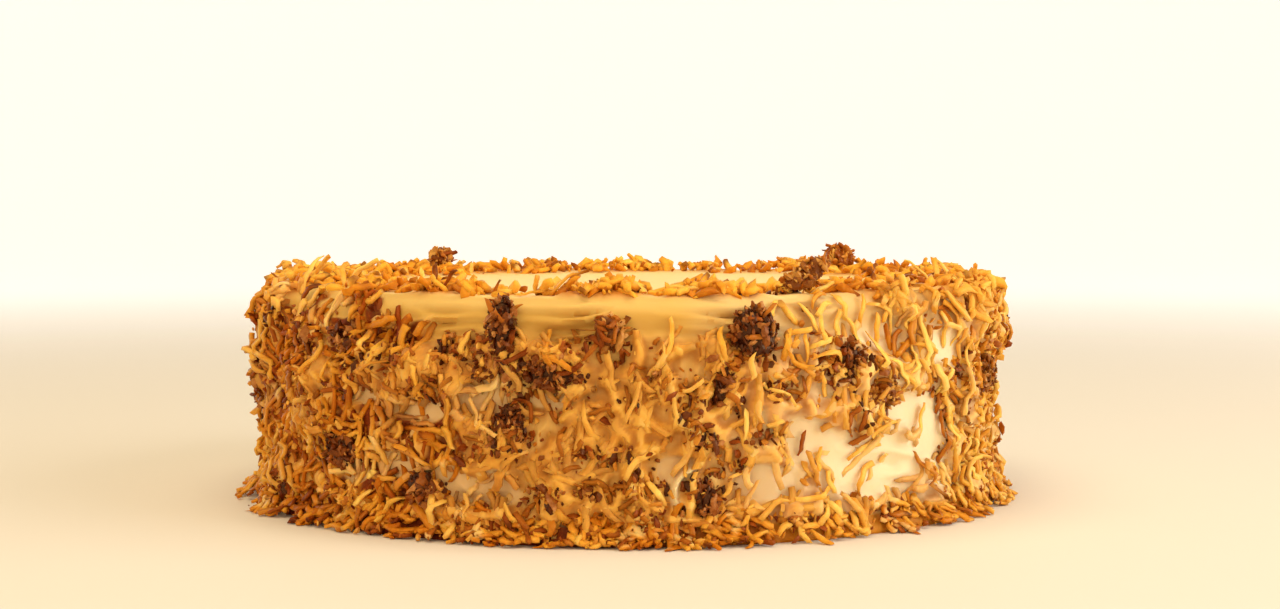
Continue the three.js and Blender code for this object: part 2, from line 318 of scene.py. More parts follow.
# Nut crumbs that trail from a cluster, given in the same way.
nutSpots = [(-17.5, 43.5, 2.2, 4.5), (-20, 40.5, 2, 2.5), (-13.5, 42, 2, 3), (-9, 39, 3, 2)]

# Heaps of coconut along the front of the ring: angle, half width, height.
heaps = [
    (-32, 5, 2.0), (-25, 3, 1.2), (-19, 2, 0.8), (-13.5, 3, 0.9), (-9, 2, 2.3), (-2.5, 5.5, 3.0),
    (7.5, 3, 1.1), (13, 3.4, 3.3), (19.5, 3, 2.0), (27, 3, 1.3), (39, 6, 2.0),
]

# How thickly coconut lies round the side, and how far frosting is smeared over it, by angle from the front.
thickness = [
    (-180, 1.0), (-90, 1.1), (-32, 1.05), (-14, 0.8), (10, 0.72), (26, 0.66), (52, 0.66), (70, 1.0),
    (180, 1.0),
]
smearing = [
    (-180, -0.2), (-60, -0.5), (-40, -0.45), (-26, -0.1), (-15, 0.95), (13, 0.95), (26, 0.2), (55, 0.0),
    (75, -0.3), (180, -0.2),
]

lumpGrains = (26.0, 13.0, 6.0, 9.0)  # millimetres: broad swells, clumps, fine lumps and tufts
# Where each kind of cover is 0 and where it is full: by depth in a patch, share, angle, radius or height.
fades = {
    "open": (1.15, 0.8), "spots": (1.5, 0.8), "nuts": (1.4, 0.8), "smear": (-0.35, 0.35),
    "bandInside": (75.5, 80), "bandOutside": (96, 92.5), "behind": (60, 30), "front": (52, 40),
    "flankAngle": (26, 40), "flankRadius": (70, 77), "flankHeight": (51, 56.5), "aboveFoot": (2.5, 5.0),
    "shoulder": (46, 53), "rim": (46, 49), "sideRadius": (93.0, 95.5), "sideHeight": (4.0, 6.5),
    "lowCoat": (6.5, 4.0), "ringHeight": (53, 57.5), "flankSwell": (45, 80), "shoulderSwell": (38, 52),
    "waistBelow": (4, 16), "waistAbove": (50, 34), "calmFoot": (2, 9),
}
spotsFrom = 5  # millimetres up: no brown crumbs below
heapsMiddle = 5  # degrees: the middle of the stretch where the ring is as "heaps" says
nearReach = 6.0  # millimetres from a cluster that its crumbs reach
lipShape = {"ends": 35, "width": 0.8}  # degrees over which a lip tapers off, and its half width
knifeShape = {"depth": 1.35, "ends": (-0.12, 0.15)}  # a factor on every rise, and how a mark sets in


# The angle from one bearing to another, between -180 and 180 degrees.
def turned(first, second):
    return (first - second + 540) % 360 - 180


def apart(first, second):
    return np.abs(turned(first, second))


def eased(value, low, high):
    share = np.clip((value - low) / (high - low), 0, 1)
    return share * share * (3 - 2 * share)


# An unevenness of about -1 to 1 over points in millimetres; "grain" is the size of its lumps.
def wobble(points, grain, seed):
    shift = Vector((13.7, 5.1, 9.3)) * seed
    return np.array([noise.noise(Vector(point) / grain + shift) for point in points]) * 1.7


# How far a place on the side is from the nearest of some patches: 0 in its middle, 1 at its edge.
def patchDepth(patches, angle, height):
    depth = np.full_like(angle, 9.0)
    for middle, level, halfAngle, halfHeight in patches:
        depth = np.minimum(depth, np.hypot(apart(angle, middle) / halfAngle, (height - level) / halfHeight))
    return depth


def onBareRim(angle, height, rough):
    bare = np.zeros_like(angle)
    for start, end, lowest in bareRims:
        middle, half = (start + end) / 2, (end - start) / 2
        along = eased(half - apart(angle, middle) + 3 * rough, -1.5, 1.5)
        bare = np.maximum(bare, along * eased(height - lowest + 3 * rough, -1.5, 1))
    return bare


def wallRadius(height):
    straight = cake["height"] - cake["rimRounding"] - cake["bankHeight"]
    share = np.clip((height - cake["bankHeight"]) / straight, 0, 1)
    return cake["wallRadius"] + cake["belly"] * np.sin(np.pi * share)


# The rounded edge between side and top, as (radius, height, outwards, upwards).
def rimOutline(rows):
    centre = cake["wallRadius"] - cake["rimRounding"]
    lines = []
    for row in range(1, rows + 1):
        turn = row / rows * math.pi / 2
        out, up = math.cos(turn), math.sin(turn)
        level = cake["height"] - cake["rimRounding"]
        lines.append((centre + cake["rimRounding"] * out, level + cake["rimRounding"] * up, out, up))
    return lines


# Everything that is painted over the cake by place: where coconut lies, how thick, how brown, how smeared.
class Lay:
    def __init__(self, points):
        x, y, z = points.T
        self.angle = np.degrees(np.arctan2(x, -y))
        self.height = z
        self.radius = np.hypot(x, y)
        self.broad, self.clumps, self.fine, self.tufts = (
            wobble(points, grain, seed) for seed, grain in enumerate(lumpGrains, 1)
        )
        self.frontal = apart(self.angle, 0)
        self.onTop = eased(z, cake["height"] - 1.2, cake["height"] - 0.2)
        self.bareRim = onBareRim(self.angle, z, self.clumps * 0.6 + self.fine * 0.5)
        frayed = patchDepth(barePatches, self.angle, z) + 0.18 * self.fine + 0.1 * self.clumps
        self.open = eased(frayed, *fades["open"])
        spotted = patchDepth(crumbSpots, self.angle, z) + 0.35 * self.fine
        self.spots = eased(spotted, *fades["spots"]) * (z > spotsFrom)
        trailing = patchDepth(nutSpots, self.angle, z) + 0.25 * self.fine
        self.nuts = eased(trailing, *fades["nuts"])
        self.lip = lipHeight(self.angle, z)
        marks = knifeHeight(self.angle, z + 1.8 * self.broad + 0.9 * self.clumps)
        self.knife = marks * np.clip(0.6 + 1.1 * self.clumps + 0.7 * self.broad, 0, 1.7)
        self.ring = np.clip(ringHeight(self.angle, self.clumps + 0.4 * self.fine), 0, 4)
        coated = np.interp(self.angle, *zip(*thickness)) * (1 - 0.93 * self.open)
        coated = coated * (1 - np.clip(self.lip, 0, 1)) * (1 - self.bareRim)
        self.wall = coated * (1 - self.onTop) * (1 + 0.3 * self.clumps)
        spread = np.interp(self.angle, *zip(*smearing)) + 0.5 * self.broad
        spread = spread + 0.6 * self.clumps + 0.3 * self.fine
        self.smear = eased(spread, *fades["smear"]) * (1 - self.bareRim) * (1 - self.open)
        self.crown = self.crownCover()
        loose = 0.75 * self.ring - 0.3 + 0.4 * self.fine + 0.35 * behind(self.angle)
        self.heaped = self.crown * np.clip(loose, 0, 1.6)

    # The ring on the top's edge, and the flanks that it spills over.
    def crownCover(self):
        band = eased(self.radius, *fades["bandInside"]) * eased(self.radius, *fades["bandOutside"])
        flank = eased(self.frontal, *fades["flankAngle"]) * eased(self.radius, *fades["flankRadius"])
        flank = flank * eased(self.height, *fades["flankHeight"]) * (1 - self.open)
        covered = np.maximum(band * self.onTop, 0.75 * flank) * (1 - self.bareRim * (1 - self.onTop))
        return covered * (1 + 0.35 * self.clumps)

    # How far the surface bulges out of the plain outline, in millimetres.
    def bulge(self):
        dense = np.clip(self.wall, 0, 1)
        flank = eased(self.frontal, *fades["flankSwell"]) * (1 - self.onTop)
        shoulder = flank * eased(self.height, *fades["shoulderSwell"]) * (0.5 + 0.5 * self.clumps)
        shoulder = shoulder * np.where(self.angle < 0, 0.6, 2.4)
        side = 0.9 * self.broad + dense * (0.7 + 1.1 * self.clumps) + shoulder + 0.8 * flank * self.clumps
        waist = eased(self.height, *fades["waistBelow"]) * eased(self.height, *fades["waistAbove"])
        side -= flank * (0.7 + 1.4 * waist)
        top = np.clip(self.crown, 0, 1) * self.ring * 0.6
        calm = (1 - 0.7 * self.bareRim) * eased(self.height, *fades["calmFoot"])
        return (side * calm + self.lip + self.knife) * (1 - self.onTop) + top * self.onTop


def lipHeight(angle, height):
    raised = np.zeros_like(angle)
    for middle, level, radius, start, end, high in lips:
        across = np.radians(turned(angle, middle)) * cake["wallRadius"]
        upward = height - level
        far = np.hypot(across, upward)
        bearing = np.degrees(np.arctan2(upward, across)) % 360
        taper = lipShape["ends"]
        ends = eased(bearing, start, start + taper) * eased(bearing, end, end - taper)
        raised = np.maximum(raised, high * ends * np.exp(-((far - radius) / lipShape["width"]) ** 2))
    return raised


def knifeHeight(angle, height):
    raised = np.zeros_like(angle)
    for start, low, end, high, width, rise in knifeMarks:
        share = turned(angle, start) / (end - start)
        before, after = knifeShape["ends"]
        ends = eased(share, before, after) * eased(share, 1 - before, 1 - after)
        across = (height - low - (high - low) * share) / width
        raised += knifeShape["depth"] * rise * ends * np.exp(-across ** 2)
    return raised


def behind(angle):
    return eased(apart(angle, 180), *fades["behind"])


# Height of the ring of coconut: as the heaps at the front, and with lumps elsewhere.
def ringHeight(angle, lumps):
    front = np.full_like(angle, 0.15)
    for middle, half, high in heaps:
        front = np.maximum(front, high * np.exp(-(apart(angle, middle) / half) ** 2))
    share = eased(apart(angle, heapsMiddle), *fades["front"])
    return front * share + (1.5 - 0.95 * behind(angle) + lumps) * (1 - share)


# How close places on the cake lie to a nut cluster: 1 beside it, 0 some millimetres away.
def closeness(points, reach):
    corners = [vertex.co / mm for name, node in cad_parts.items() if name.startswith("cluster_")
               for vertex in node.data.vertices]
    tree = kdtree.KDTree(len(corners))
    for index, corner in enumerate(corners):
        tree.insert(corner, index)
    tree.balance()
    gaps = np.array([tree.find(Vector(point))[2] for point in points])
    return eased(gaps, reach, 0.5)


def addFloat(mesh, name, values):
    mesh.attributes.new(name, "FLOAT", "POINT").data.foreach_set("value", values.astype(np.float32))


def addVector(mesh, name, values):
    flat = values.astype(np.float32).ravel()
    mesh.attributes.new(name, "FLOAT_VECTOR", "POINT").data.foreach_set("vector", flat)


# The cake's skin before anything is smeared or strewn on it, in millimetres. A ring is its radius, height,
# and how far it faces outwards and upwards. Inside each radius of "topLimits" a ring has half the points.
bed = {
    "around": 864, "row": 0.58, "firstRow": 5.4, "rimRows": 12, "front": 80, "frontShare": 0.617,
    "heel": [(102.4, 0.0, 1, 0.7), (102.4, 1.0, 1, 0.6), (101.8, 2.4, 0.8, 0.6), (100.8, 4.2, 0.9, 0.4)],
    "flare": 0.9, "flareHeights": (9.0, 5.0),
    "topSteps": [1.4, 1.6, 2.5, 2.5, 2.5], "topLimits": [88, 60, 30, 15, 6],
}


# The angle of a column, for its share of the way round: columns are closer together at the front.
def columnAngle(share):
    front, most = bed["front"], bed["frontShare"]
    if share < most:
        return math.radians(-front + 2 * front * share / most)
    return math.radians(front + (360 - 2 * front) * (share - most) / (1 - most))


# Rings from the foot up the side and over the top, each with how often its number of points has halved.
def bedRings():
    rings = list(bed["heel"])
    for height in np.arange(bed["firstRow"], cake["height"] - cake["rimRounding"], bed["row"]):
        flare = bed["flare"] * float(eased(height, *bed["flareHeights"]))
        rings.append((wallRadius(height) + flare, height, 1, 0))
    rings = [(*each, 0) for each in rings + rimOutline(bed["rimRows"])]
    radius = rings[-1][0]
    for halving, lowest in enumerate(bed["topLimits"]):
        while radius - bed["topSteps"][halving] > lowest:
            radius -= bed["topSteps"][halving]
            rings.append((radius, cake["height"], 0, 1, halving))
    return rings


# The faces between rings of points, where a ring may have half the points of the one before it.
def ringFaces(starts):
    faces = []
    for (low, number), (high, inner) in zip(starts, starts[1:]):
        for index in range(inner):
            after = (index + 1) % inner
            if number == inner:
                faces.append((low + index, low + after, high + after, high + index))
                continue
            left, middle, right = low + 2 * index, low + 2 * index + 1, low + (2 * index + 2) % number
            faces += [(left, middle, high + index), (middle, high + after, high + index)]
            faces.append((middle, right, high + after))
    return faces


def ringPoints(rings, around):
    points, facing, starts = [], [], []
    for radius, height, outwards, upwards, halving in rings:
        number = around >> halving
        starts.append((len(points), number))
        for index in range(number):
            angle = columnAngle(index / number)
            points.append((radius * math.sin(angle), -radius * math.cos(angle), height))
            facing.append((outwards * math.sin(angle), -outwards * math.cos(angle), upwards))
    return points, facing, starts


# What the frosting's shape and colours read, from 0 to 1.
def frostingLayers(lay):
    side = eased(lay.radius, *fades["sideRadius"]) * eased(lay.height, *fades["sideHeight"])
    ring = 0.9 * np.clip(lay.heaped, 0, 1) * eased(lay.height, *fades["ringHeight"])
    return {
        "smear": lay.smear * side * (1 - np.clip(lay.lip, 0, 1)),
        "coat": np.clip(lay.wall * 1.1, 0, 1) * side,
        "side": side,
        "pale": np.clip(lay.open * 1.2, 0, 1) * side,
        "lip": np.clip(lay.lip / 1.6, 0, 1) * side,
        "rim": lay.bareRim * eased(lay.height, *fades["rim"]),
        "strewn": np.maximum(eased(lay.height, *fades["lowCoat"]), ring),
    }


# How thickly each kind of shred and crumb lies, as a share of its usual density.
def coverLayers(lay, place):
    above = eased(lay.height, *fades["aboveFoot"])
    packed = np.clip(0.72 + 0.2 * lay.smear + 0.5 * lay.fine + 0.5 * lay.tufts, 0.05, 1.8)
    browned = lay.wall * 1.1 * eased(lay.clumps - 0.5 * lay.fine, 0.0, 0.5)
    browned = browned * (1 - 0.75 * eased(lay.height, *fades["shoulder"]))
    near = closeness(place, nearReach) * np.clip(0.5 + 1.3 * lay.fine + 0.8 * lay.clumps, 0, 1.4) ** 2
    near = np.maximum(near, np.maximum(1.6 * lay.nuts, lay.spots * (1 - lay.open)))
    sunk = np.clip(lay.wall * lay.smear + 0.1 * lay.open * (1 - lay.bareRim), 0, 1)
    curls = np.clip(0.3 + lay.wall, 0, 1) * (1 - lay.bareRim) * (1 - lay.onTop)
    return {
        "wall": np.clip(lay.wall * packed, 0, 2) * above,
        "set": np.clip(lay.wall * (1 - 0.9 * lay.smear), 0, 2) * above,
        "loose": np.clip(lay.wall * (1 - 0.95 * lay.smear), 0, 2) * above,
        "crown": np.clip(lay.heaped, 0, 2) * above,
        "dark": np.clip(browned + 1.7 * lay.spots * (1 - lay.open), 0, 2) * above,
        "near": near * above * np.clip(lay.wall * 3 + lay.crown, 0, 1),
        "webs": np.clip(lay.wall * (1 - 0.9 * lay.smear) * (0.8 + 0.9 * lay.clumps), 0, 2) * above,
        "sunk": sunk * above * (1 - lay.onTop),
        "curls": curls * above * (1 - 0.8 * lay.smear),
    }


def bedMesh():
    points, facing, starts = ringPoints(bedRings(), bed["around"])
    faces = ringFaces(starts)
    last, number = starts[-1]
    points.append((0, 0, cake["height"]))
    facing.append((0, 0, 1))
    faces += [(last + index, last + (index + 1) % number, len(points) - 1) for index in range(number)]
    faces.append(tuple(range(bed["around"] - 1, -1, -1)))
    place, facing = np.array(points, float), np.array(facing, float)
    lay = Lay(place)
    mesh = bpy.data.meshes.new("bed")
    mesh.from_pydata(((place + facing * lay.bulge()[:, None]) * mm).tolist(), [], faces)
    addVector(mesh, "facing", facing)
    for name, values in {**frostingLayers(lay), **coverLayers(lay, place)}.items():
        addFloat(mesh, name, values)
    return mesh


# The slope round the foot that loose shreds lie on: its rings, where and by what share it reaches further out
# on the left, the radii between which the shreds thin out, and where the brown ones thin out to the right.
foot = {
    "rings": [(107.2, 0.2, 0.2, 1), (106.0, 0.3, 0.2, 1), (104.4, 1.0, 0.4, 0.9), (103.2, 2.2, 0.6, 0.7),
              (101.6, 4.6, 0.8, 0.6), (100.3, 7.2, 1, 0.3)],
    "around": 360, "left": -80, "leftAngles": (50, 15), "leftHeights": (6, 1), "leftReach": 0.024,
    "edge": (108.0, 104.0), "thinHeel": (45, 0),
}


def footMesh():
    points, facing, starts = ringPoints([(*each, 0) for each in foot["rings"]], foot["around"])
    place = np.array(points, float)
    bearing = np.degrees(np.arctan2(place[:, 0], -place[:, 1]))
    leftwards = eased(apart(bearing, foot["left"]), *foot["leftAngles"])
    leftwards = leftwards * eased(place[:, 2], *foot["leftHeights"])
    place[:, :2] *= 1 + foot["leftReach"] * leftwards[:, None]
    lay = Lay(place)
    mesh = bpy.data.meshes.new("footSlope")
    mesh.from_pydata((place * mm).tolist(), [], ringFaces(starts))
    addVector(mesh, "facing", np.array(facing, float))
    edge = eased(lay.radius - 2.5 * leftwards + 1.8 * lay.fine + 1.2 * lay.broad, *foot["edge"])
    strewn = np.clip((0.8 + 0.7 * lay.clumps) * edge, 0, 2)
    addFloat(mesh, "foot", strewn)
    thinned = 0.6 + 0.4 * eased(place[:, 0], *foot["thinHeel"])
    addFloat(mesh, "heel", strewn * thinned * (1 - 0.8 * leftwards))
    return mesh


# How a strip is bent, uneven and tapered along its length, and how far it may settle up and down.
stripShape = {
    "grain": 1.1, "toneShift": 61.0, "slantShift": 23.0, "heave": 0.25, "uneven": 0.8, "taper": 0.2,
    "skew": 0.8, "reach": 8.0 * mm, "climb": 5.5 * mm, "sink": 2.5 * mm,
}


# Lays one strip on each point, turned and bent by the numbers in "draw", which are fields of the points, and
# lets it settle on the surface below it by the share "drape".
def bendStrips(board, onto, points, pieces, draw, drape):
    face = board.stored("facing", "FLOAT_VECTOR").unit()
    place = board.position()
    around = board.vector(0.0, 0.0, 1.0).cross(place).unit()
    across = face.cross(around)
    turn, lean, length = draw["turn"], draw["lean"], draw["length"]
    forward = around * turn.cosine() + across * turn.sine()
    carried = {
        "tmpRoot": place,
        "tmpFace": face,
        "tmpAlong": forward * lean.cosine() + face * lean.sine(),
        "tmpSide": across * turn.cosine() - around * turn.sine(),
        "tmpUp": face * lean.cosine() - forward * lean.sine(),
        "tmpBend": board.vector(draw["curl"] * length, draw["wave"] * length, draw["bow"] * length),
        "tmpSize": board.vector(length * 0.5, draw["wide"], draw["thick"]),
        "tmpTwist": board.vector(draw["roll"], draw["twist"], draw["slant"]),
        "tmpLift": draw["lift"],
        "tmpSway": draw["sway"],
        "tone": draw["tone"],
        "toast": draw["toast"],
    }
    for name, value in carried.items():
        points = board.store(points, name, value)

    strip = board.node("GeometryNodeMeshCube", {}, {0: (2.0, 1.0, 1.0), 1: pieces + 1, 2: 2, 3: 2})
    local = board.position()
    strip = board.store(strip, "tmpLocal", local)
    strip = board.store(strip, "along", local.part(0))
    laid = board.node("GeometryNodeInstanceOnPoints", {}, {"Points": points, "Instance": strip})
    real = board.node("GeometryNodeRealizeInstances", {}, {0: laid})

    local, bend, size, twist, root, along, side, upward, face = (
        board.stored("tmp" + word, "FLOAT_VECTOR")
        for word in ("Local", "Bend", "Size", "Twist", "Root", "Along", "Side", "Up", "Face")
    )
    run, beside, above = local.part(0), local.part(1), local.part(2)
    length, slant = size.part(0) * 2.0, twist.part(2)
    phase = run * stripShape["grain"] + board.stored("tone") * stripShape["toneShift"]
    own = board.vector(phase, slant * stripShape["slantShift"], 0.0)
    sway = (board.noise(own, 1.0, 1.0) - 0.5) * board.stored("tmpSway")
    heave = (board.noise(own + (0.0, 0.0, 9.0), 1.0, 1.0) - 0.5) * stripShape["heave"]
    uneven = 1 + (board.noise(own * 3.0, 1.0, 1.0) - 0.5) * stripShape["uneven"]
    arch = 0.33 - run * run
    wave = run * run * run - run
    middle = (root + face * board.stored("tmpLift") + along * (size.part(0) * run)
              + side * (bend.part(0) * arch + bend.part(1) * wave + sway * length)
              + upward * (bend.part(2) * arch + heave * length))
    planned = (middle - root).dot(face)
    reach = stripShape["reach"]
    hit = board.node("GeometryNodeRaycast", {}, {
        "Target Geometry": onto, "Source Position": middle + face * reach, "Ray Direction": face * -1.0,
        "Ray Length": reach * 2.0,
    })
    below = (planned + reach - hit.also("Hit Distance")) * hit
    middle = middle + face * (below.least(stripShape["climb"]).most(-stripShape["sink"]) * drape)
    roll = twist.part(0) + twist.part(1) * run
    narrowed = stripShape["taper"] * run * run * run * run
    taper = (1 - narrowed + stripShape["taper"] * slant * run) * uneven
    flat = side * roll.cosine() + upward * roll.sine()
    high = upward * roll.cosine() - side * roll.sine()
    skew = along * (beside * size.part(1) * slant * run * run * stripShape["skew"])
    spot = middle + flat * (beside * size.part(1) * taper) + high * (above * size.part(2)) + skew
    return board.moveAbove(real, spot, footGap)


# Points over a surface, "density" to each square metre.
def pointsOver(board, surface, density, seed):
    sockets = {"Mesh": surface, "Density": density, "Seed": seed}
    return board.node("GeometryNodeDistributePointsOnFaces", {}, sockets)


# The layer that an input names.
def coverOf(board, given):
    sockets = {"Name": given["Cover"]}
    return board.node("GeometryNodeInputNamedAttribute", {"data_type": "FLOAT"}, sockets)


# Strews strips over a surface, each with its own length, turn, lean, curl and bow. The order of the draws
# counts, because it numbers their seeds.
def layShreds(board, surface, given):
    seed = given["Seed"]
    points = pointsOver(board, surface, given["Density"] * coverOf(board, given), seed)

    def swing(amount):
        return board.random(-1.0, 1.0, seed) * amount

    high = board.random(0.0, 1.0, seed)
    longer = given["Longest"] - given["Shortest"]
    draw = {
        "turn": given["Turn"] + (swing(0.5) + swing(0.5)) * given["Turn spread"],
        "lean": swing(given["Lean"]) + given["Rise"],
        "length": given["Shortest"] + longer * board.random(0.0, 1.0, seed) ** 1.5,
        "lift": high * given["Lift"] + given["Sunk"],
        "bow": board.random(-0.7, 1.0, seed) * given["Bow"],
        "wide": board.random(0.7, 1.3, seed) * given["Width"],
        "thick": board.random(0.75, 1.25, seed) * given["Thickness"],
        "curl": swing(given["Curl"]),
        "wave": swing(given["Curl"]),
        "roll": swing(given["Roll"]),
        "twist": swing(given["Twist"]),
        "slant": swing(1.0),
        "tone": (board.random(0.0, 0.6, seed) + high * 0.4) * given["Tones"],
        "toast": board.random(0.0, 1.0, seed),
        "sway": given["Sway"],
    }
    return bendStrips(board, surface, points, given["Pieces"], draw, given["Drape"])


# Lays strips on points that carry their own numbers.
def laySingly(board, surface, given):
    words = ("turn", "lean", "length", "lift", "bow", "wide", "thick", "curl", "wave", "roll", "twist",
             "slant", "tone", "toast", "sway")
    draw = {word: board.stored("tmp_" + word) for word in words}
    points = board.node("GeometryNodeMeshToPoints", {}, {0: surface})
    onto = board.node("GeometryNodeObjectInfo", {}, {"Object": given["Onto"]}, 4)
    return bendStrips(board, onto, points, given["Pieces"], draw, 1.0)


def newFinish(name):
    material = bpy.data.materials.new(name)
    material.use_nodes = True
    shader = material.node_tree.nodes["Principled BSDF"]
    board = Board(material.node_tree)
    place = board.node("ShaderNodeTexCoord", {}, {}, 3)
    return material, shader, board, place


# Gives a shader its colour and roughness, a bump with a strength and a distance, and its fixed values.
def finishShader(shader, board, colour, roughness, height, body):
    board.feed(socketOf(shader.inputs, "Base Color"), colour)
    board.feed(socketOf(shader.inputs, "Roughness"), roughness)
    strength, distance = body["bump"]
    sockets = {"Strength": strength, "Distance": distance, "Height": height}
    board.feed(socketOf(shader.inputs, "Normal"), board.node("ShaderNodeBump", {}, sockets))
    for key, value in body["fixed"].items():
        socketOf(shader.inputs, key).default_value = value


# Painted light and shade on coconut by place, which is in metres: lighter at the right as painted window
# light, and darker at the left, apart from its foot and rim, as painted shade.
def paintedSideLight(place):
    across, up = place.part(0), place.part(2)
    left = up.ramp(0.028, 0.016) * 0.14 + up.ramp(0.047, 0.054) * 0.14 - 0.06
    far = across.ramp(0.01, 0.065) * 0.15 - across.ramp(-0.02, -0.075) * 0.06
    return far + across.ramp(-0.005, -0.035) * left


# What all coconut shares: the size of its patches of tone, as noise scales, its bump and its body.
coconutBody = {
    "mottle": 420.0, "broad": 55.0, "creamed": 150.0, "streak": 900.0, "pale": (0.88, 0.60, 0.22),
    "bump": (0.5, 0.3 * mm),
    "fixed": {
        "Subsurface Weight": 0.25, "Subsurface Radius": (1.0, 0.45, 0.12), "Subsurface Scale": 0.0007,
        "Specular IOR Level": 0.3, "Specular Tint": (1.0, 0.60, 0.24, 1.0),
    },
}


# Coconut: one tone for each shred, darker to its ends and freckled, with painted light and shade by side,
# over a softly scattering body.
def coconutFinish(name, look):
    material, shader, board, place = newFinish(name)
    tone = board.painted("tone")
    toast = board.painted("toast")
    along = board.painted("along")
    mottle = board.noise(place, coconutBody["mottle"], 3.0, 0.6)
    broad = board.noise(place, coconutBody["broad"])
    value = tone * 0.55 + mottle * 0.35 + broad * 0.9 - 0.4 + paintedSideLight(place) * look["sided"]
    colour = board.colours(value, look["stops"])
    end = (along * (toast - 0.5).sign()).ramp(0.1, 1.0)
    tip = (end * toast.ramp(look["tipsFrom"], look["tipsFrom"] + 0.3) * (0.5 + mottle)).least(1.0)
    colour = board.blend(tip * look["tipShare"], colour, look["tip"])
    creamed = board.noise(place, coconutBody["creamed"]).ramp(look["creamFrom"], look["creamFrom"] + 0.12)
    colour = board.blend(creamed * 0.75, colour, look["cream"])
    colour = board.blend(board.painted("smear") * (0.25 + 0.6 * mottle), colour, look["film"])
    colour = board.blend(board.painted("pale") * (0.3 + 0.7 * mottle), colour, coconutBody["pale"])
    streak = board.noise(place, coconutBody["streak"], 2.0, 0.6)
    roughness = look["roughness"] + 0.3 * (mottle - 0.5)
    finishShader(shader, board, colour, roughness, streak + mottle, coconutBody)
    return material


# The finishes of coconut. "stops" go from brown to pale, "tip" colours some ends, "cream" the spots and
# "film" what frosting is smeared on; "sided" is how far the painted light and shade by place changes the
# tone.
coconutLooks = {
    "setCoconut": {
        "stops": [(0.12, (0.31, 0.048, 0.0006)), (0.36, (0.57, 0.175, 0.006)), (0.6, (0.78, 0.36, 0.035)),
                  (0.88, (0.88, 0.54, 0.12))],
        "tip": (0.28, 0.05, 0.001), "tipsFrom": 0.5, "tipShare": 0.7, "roughness": 0.45, "sided": 1.0,
        "cream": (0.86, 0.58, 0.20), "creamFrom": 0.56, "film": (0.74, 0.40, 0.08),
    },
    "looseCoconut": {
        "stops": [(0.12, (0.24, 0.032, 0.0006)), (0.36, (0.54, 0.155, 0.005)), (0.6, (0.80, 0.38, 0.04)),
                  (0.88, (0.93, 0.61, 0.14))],
        "tip": (0.20, 0.03, 0.001), "tipsFrom": 0.5, "tipShare": 0.8, "roughness": 0.42, "sided": 1.0,
        "cream": (0.90, 0.62, 0.20), "creamFrom": 0.64, "film": (0.80, 0.46, 0.10),
    },
    "toastedCoconut": {
        "stops": [(0.12, (0.11, 0.013, 0.001)), (0.4, (0.25, 0.048, 0.004)), (0.7, (0.43, 0.13, 0.012)),
                  (0.95, (0.65, 0.28, 0.035))],
        "tip": (0.07, 0.007, 0.0003), "tipsFrom": 0.35, "tipShare": 0.8, "roughness": 0.34, "sided": 1.0,
        "cream": (0.60, 0.30, 0.05), "creamFrom": 0.7, "film": (0.40, 0.14, 0.01),
    },
    "crownCoconut": {
        "stops": [(0.10, (0.38, 0.09, 0.003)), (0.34, (0.68, 0.24, 0.012)), (0.6, (0.88, 0.43, 0.038)),
                  (0.9, (0.96, 0.64, 0.13))],
        "tip": (0.20, 0.042, 0.003), "tipsFrom": 0.5, "tipShare": 0.85, "roughness": 0.45, "sided": -0.4,
        "cream": (0.92, 0.68, 0.24), "creamFrom": 0.66, "film": (0.86, 0.50, 0.10),
    },
    "pressedCoconut": {
        "stops": [(0.12, (0.14, 0.011, 0.0002)), (0.36, (0.34, 0.062, 0.0012)), (0.6, (0.60, 0.21, 0.011)),
                  (0.88, (0.78, 0.38, 0.045))],
        "tip": (0.14, 0.02, 0.0005), "tipsFrom": 0.4, "tipShare": 0.6, "roughness": 0.38, "sided": 1.0,
        "cream": (0.80, 0.46, 0.10), "creamFrom": 0.62, "film": (0.74, 0.40, 0.08),
    },
    "webCoconut": {
        "stops": [(0.12, (0.40, 0.10, 0.003)), (0.36, (0.64, 0.26, 0.018)), (0.6, (0.80, 0.43, 0.06)),
                  (0.88, (0.91, 0.61, 0.16))],
        "tip": (0.30, 0.06, 0.002), "tipsFrom": 0.6, "tipShare": 0.7, "roughness": 0.36, "sided": 1.0,
        "cream": (0.86, 0.58, 0.20), "creamFrom": 0.58, "film": (0.80, 0.47, 0.11),
    },
}
coconutFinishes = {name: coconutFinish(name, look) for name, look in coconutLooks.items()}


# Turns the sizes of a kind from millimetres and degrees, and its density from pieces for each square
# centimetre, into what a tree takes; what the kind leaves out comes from "usual".
def valuesOf(usual, kind):
    values = {**usual, **kind}
    values["Density"] *= 10000.0
    for key in ("Shortest", "Longest", "Width", "Thickness", "Smallest", "Largest", "Lift", "Sunk"):
        if key in values:
            values[key] = values[key] * mm
    for key in ("Turn", "Turn spread", "Lean", "Rise"):
        if key in values:
            values[key] = math.radians(values[key])
    return values


# "Curl" and "Bow" are shares of a shred's length.
usualShred = {
    "Seed": 1, "Cover": "wall", "Density": 5.0, "Shortest": 3.0, "Longest": 9.0, "Width": 1.3,
    "Thickness": 0.85, "Turn": 90.0, "Turn spread": 110.0, "Lean": 8.0, "Rise": 0.0, "Curl": 0.14,
    "Bow": 0.1, "Twist": 0.5, "Roll": 0.4, "Lift": 1.0, "Sunk": 0.0, "Pieces": 5, "Drape": 0.9, "Tones": 1.0,
    "Sway": 0.28,
}


def strewShreds(name, host, finish, kind, crisp=crispAngle):
    return grow(name, host, layShreds, valuesOf(usualShred, kind), coconutFinishes[finish], crisp)


bedSurface = bedMesh()
print("bed made:", len(bedSurface.polygons), "faces")
pressed = strewShreds("pressed_coconut", bedSurface, "pressedCoconut", {
    "Seed": 3, "Density": 9.5, "Shortest": 4.0, "Longest": 13.0, "Width": 1.5, "Thickness": 1.1, "Lift": 3.0,
    "Sunk": 0.1, "Lean": 10.0, "Bow": 0.06,
})

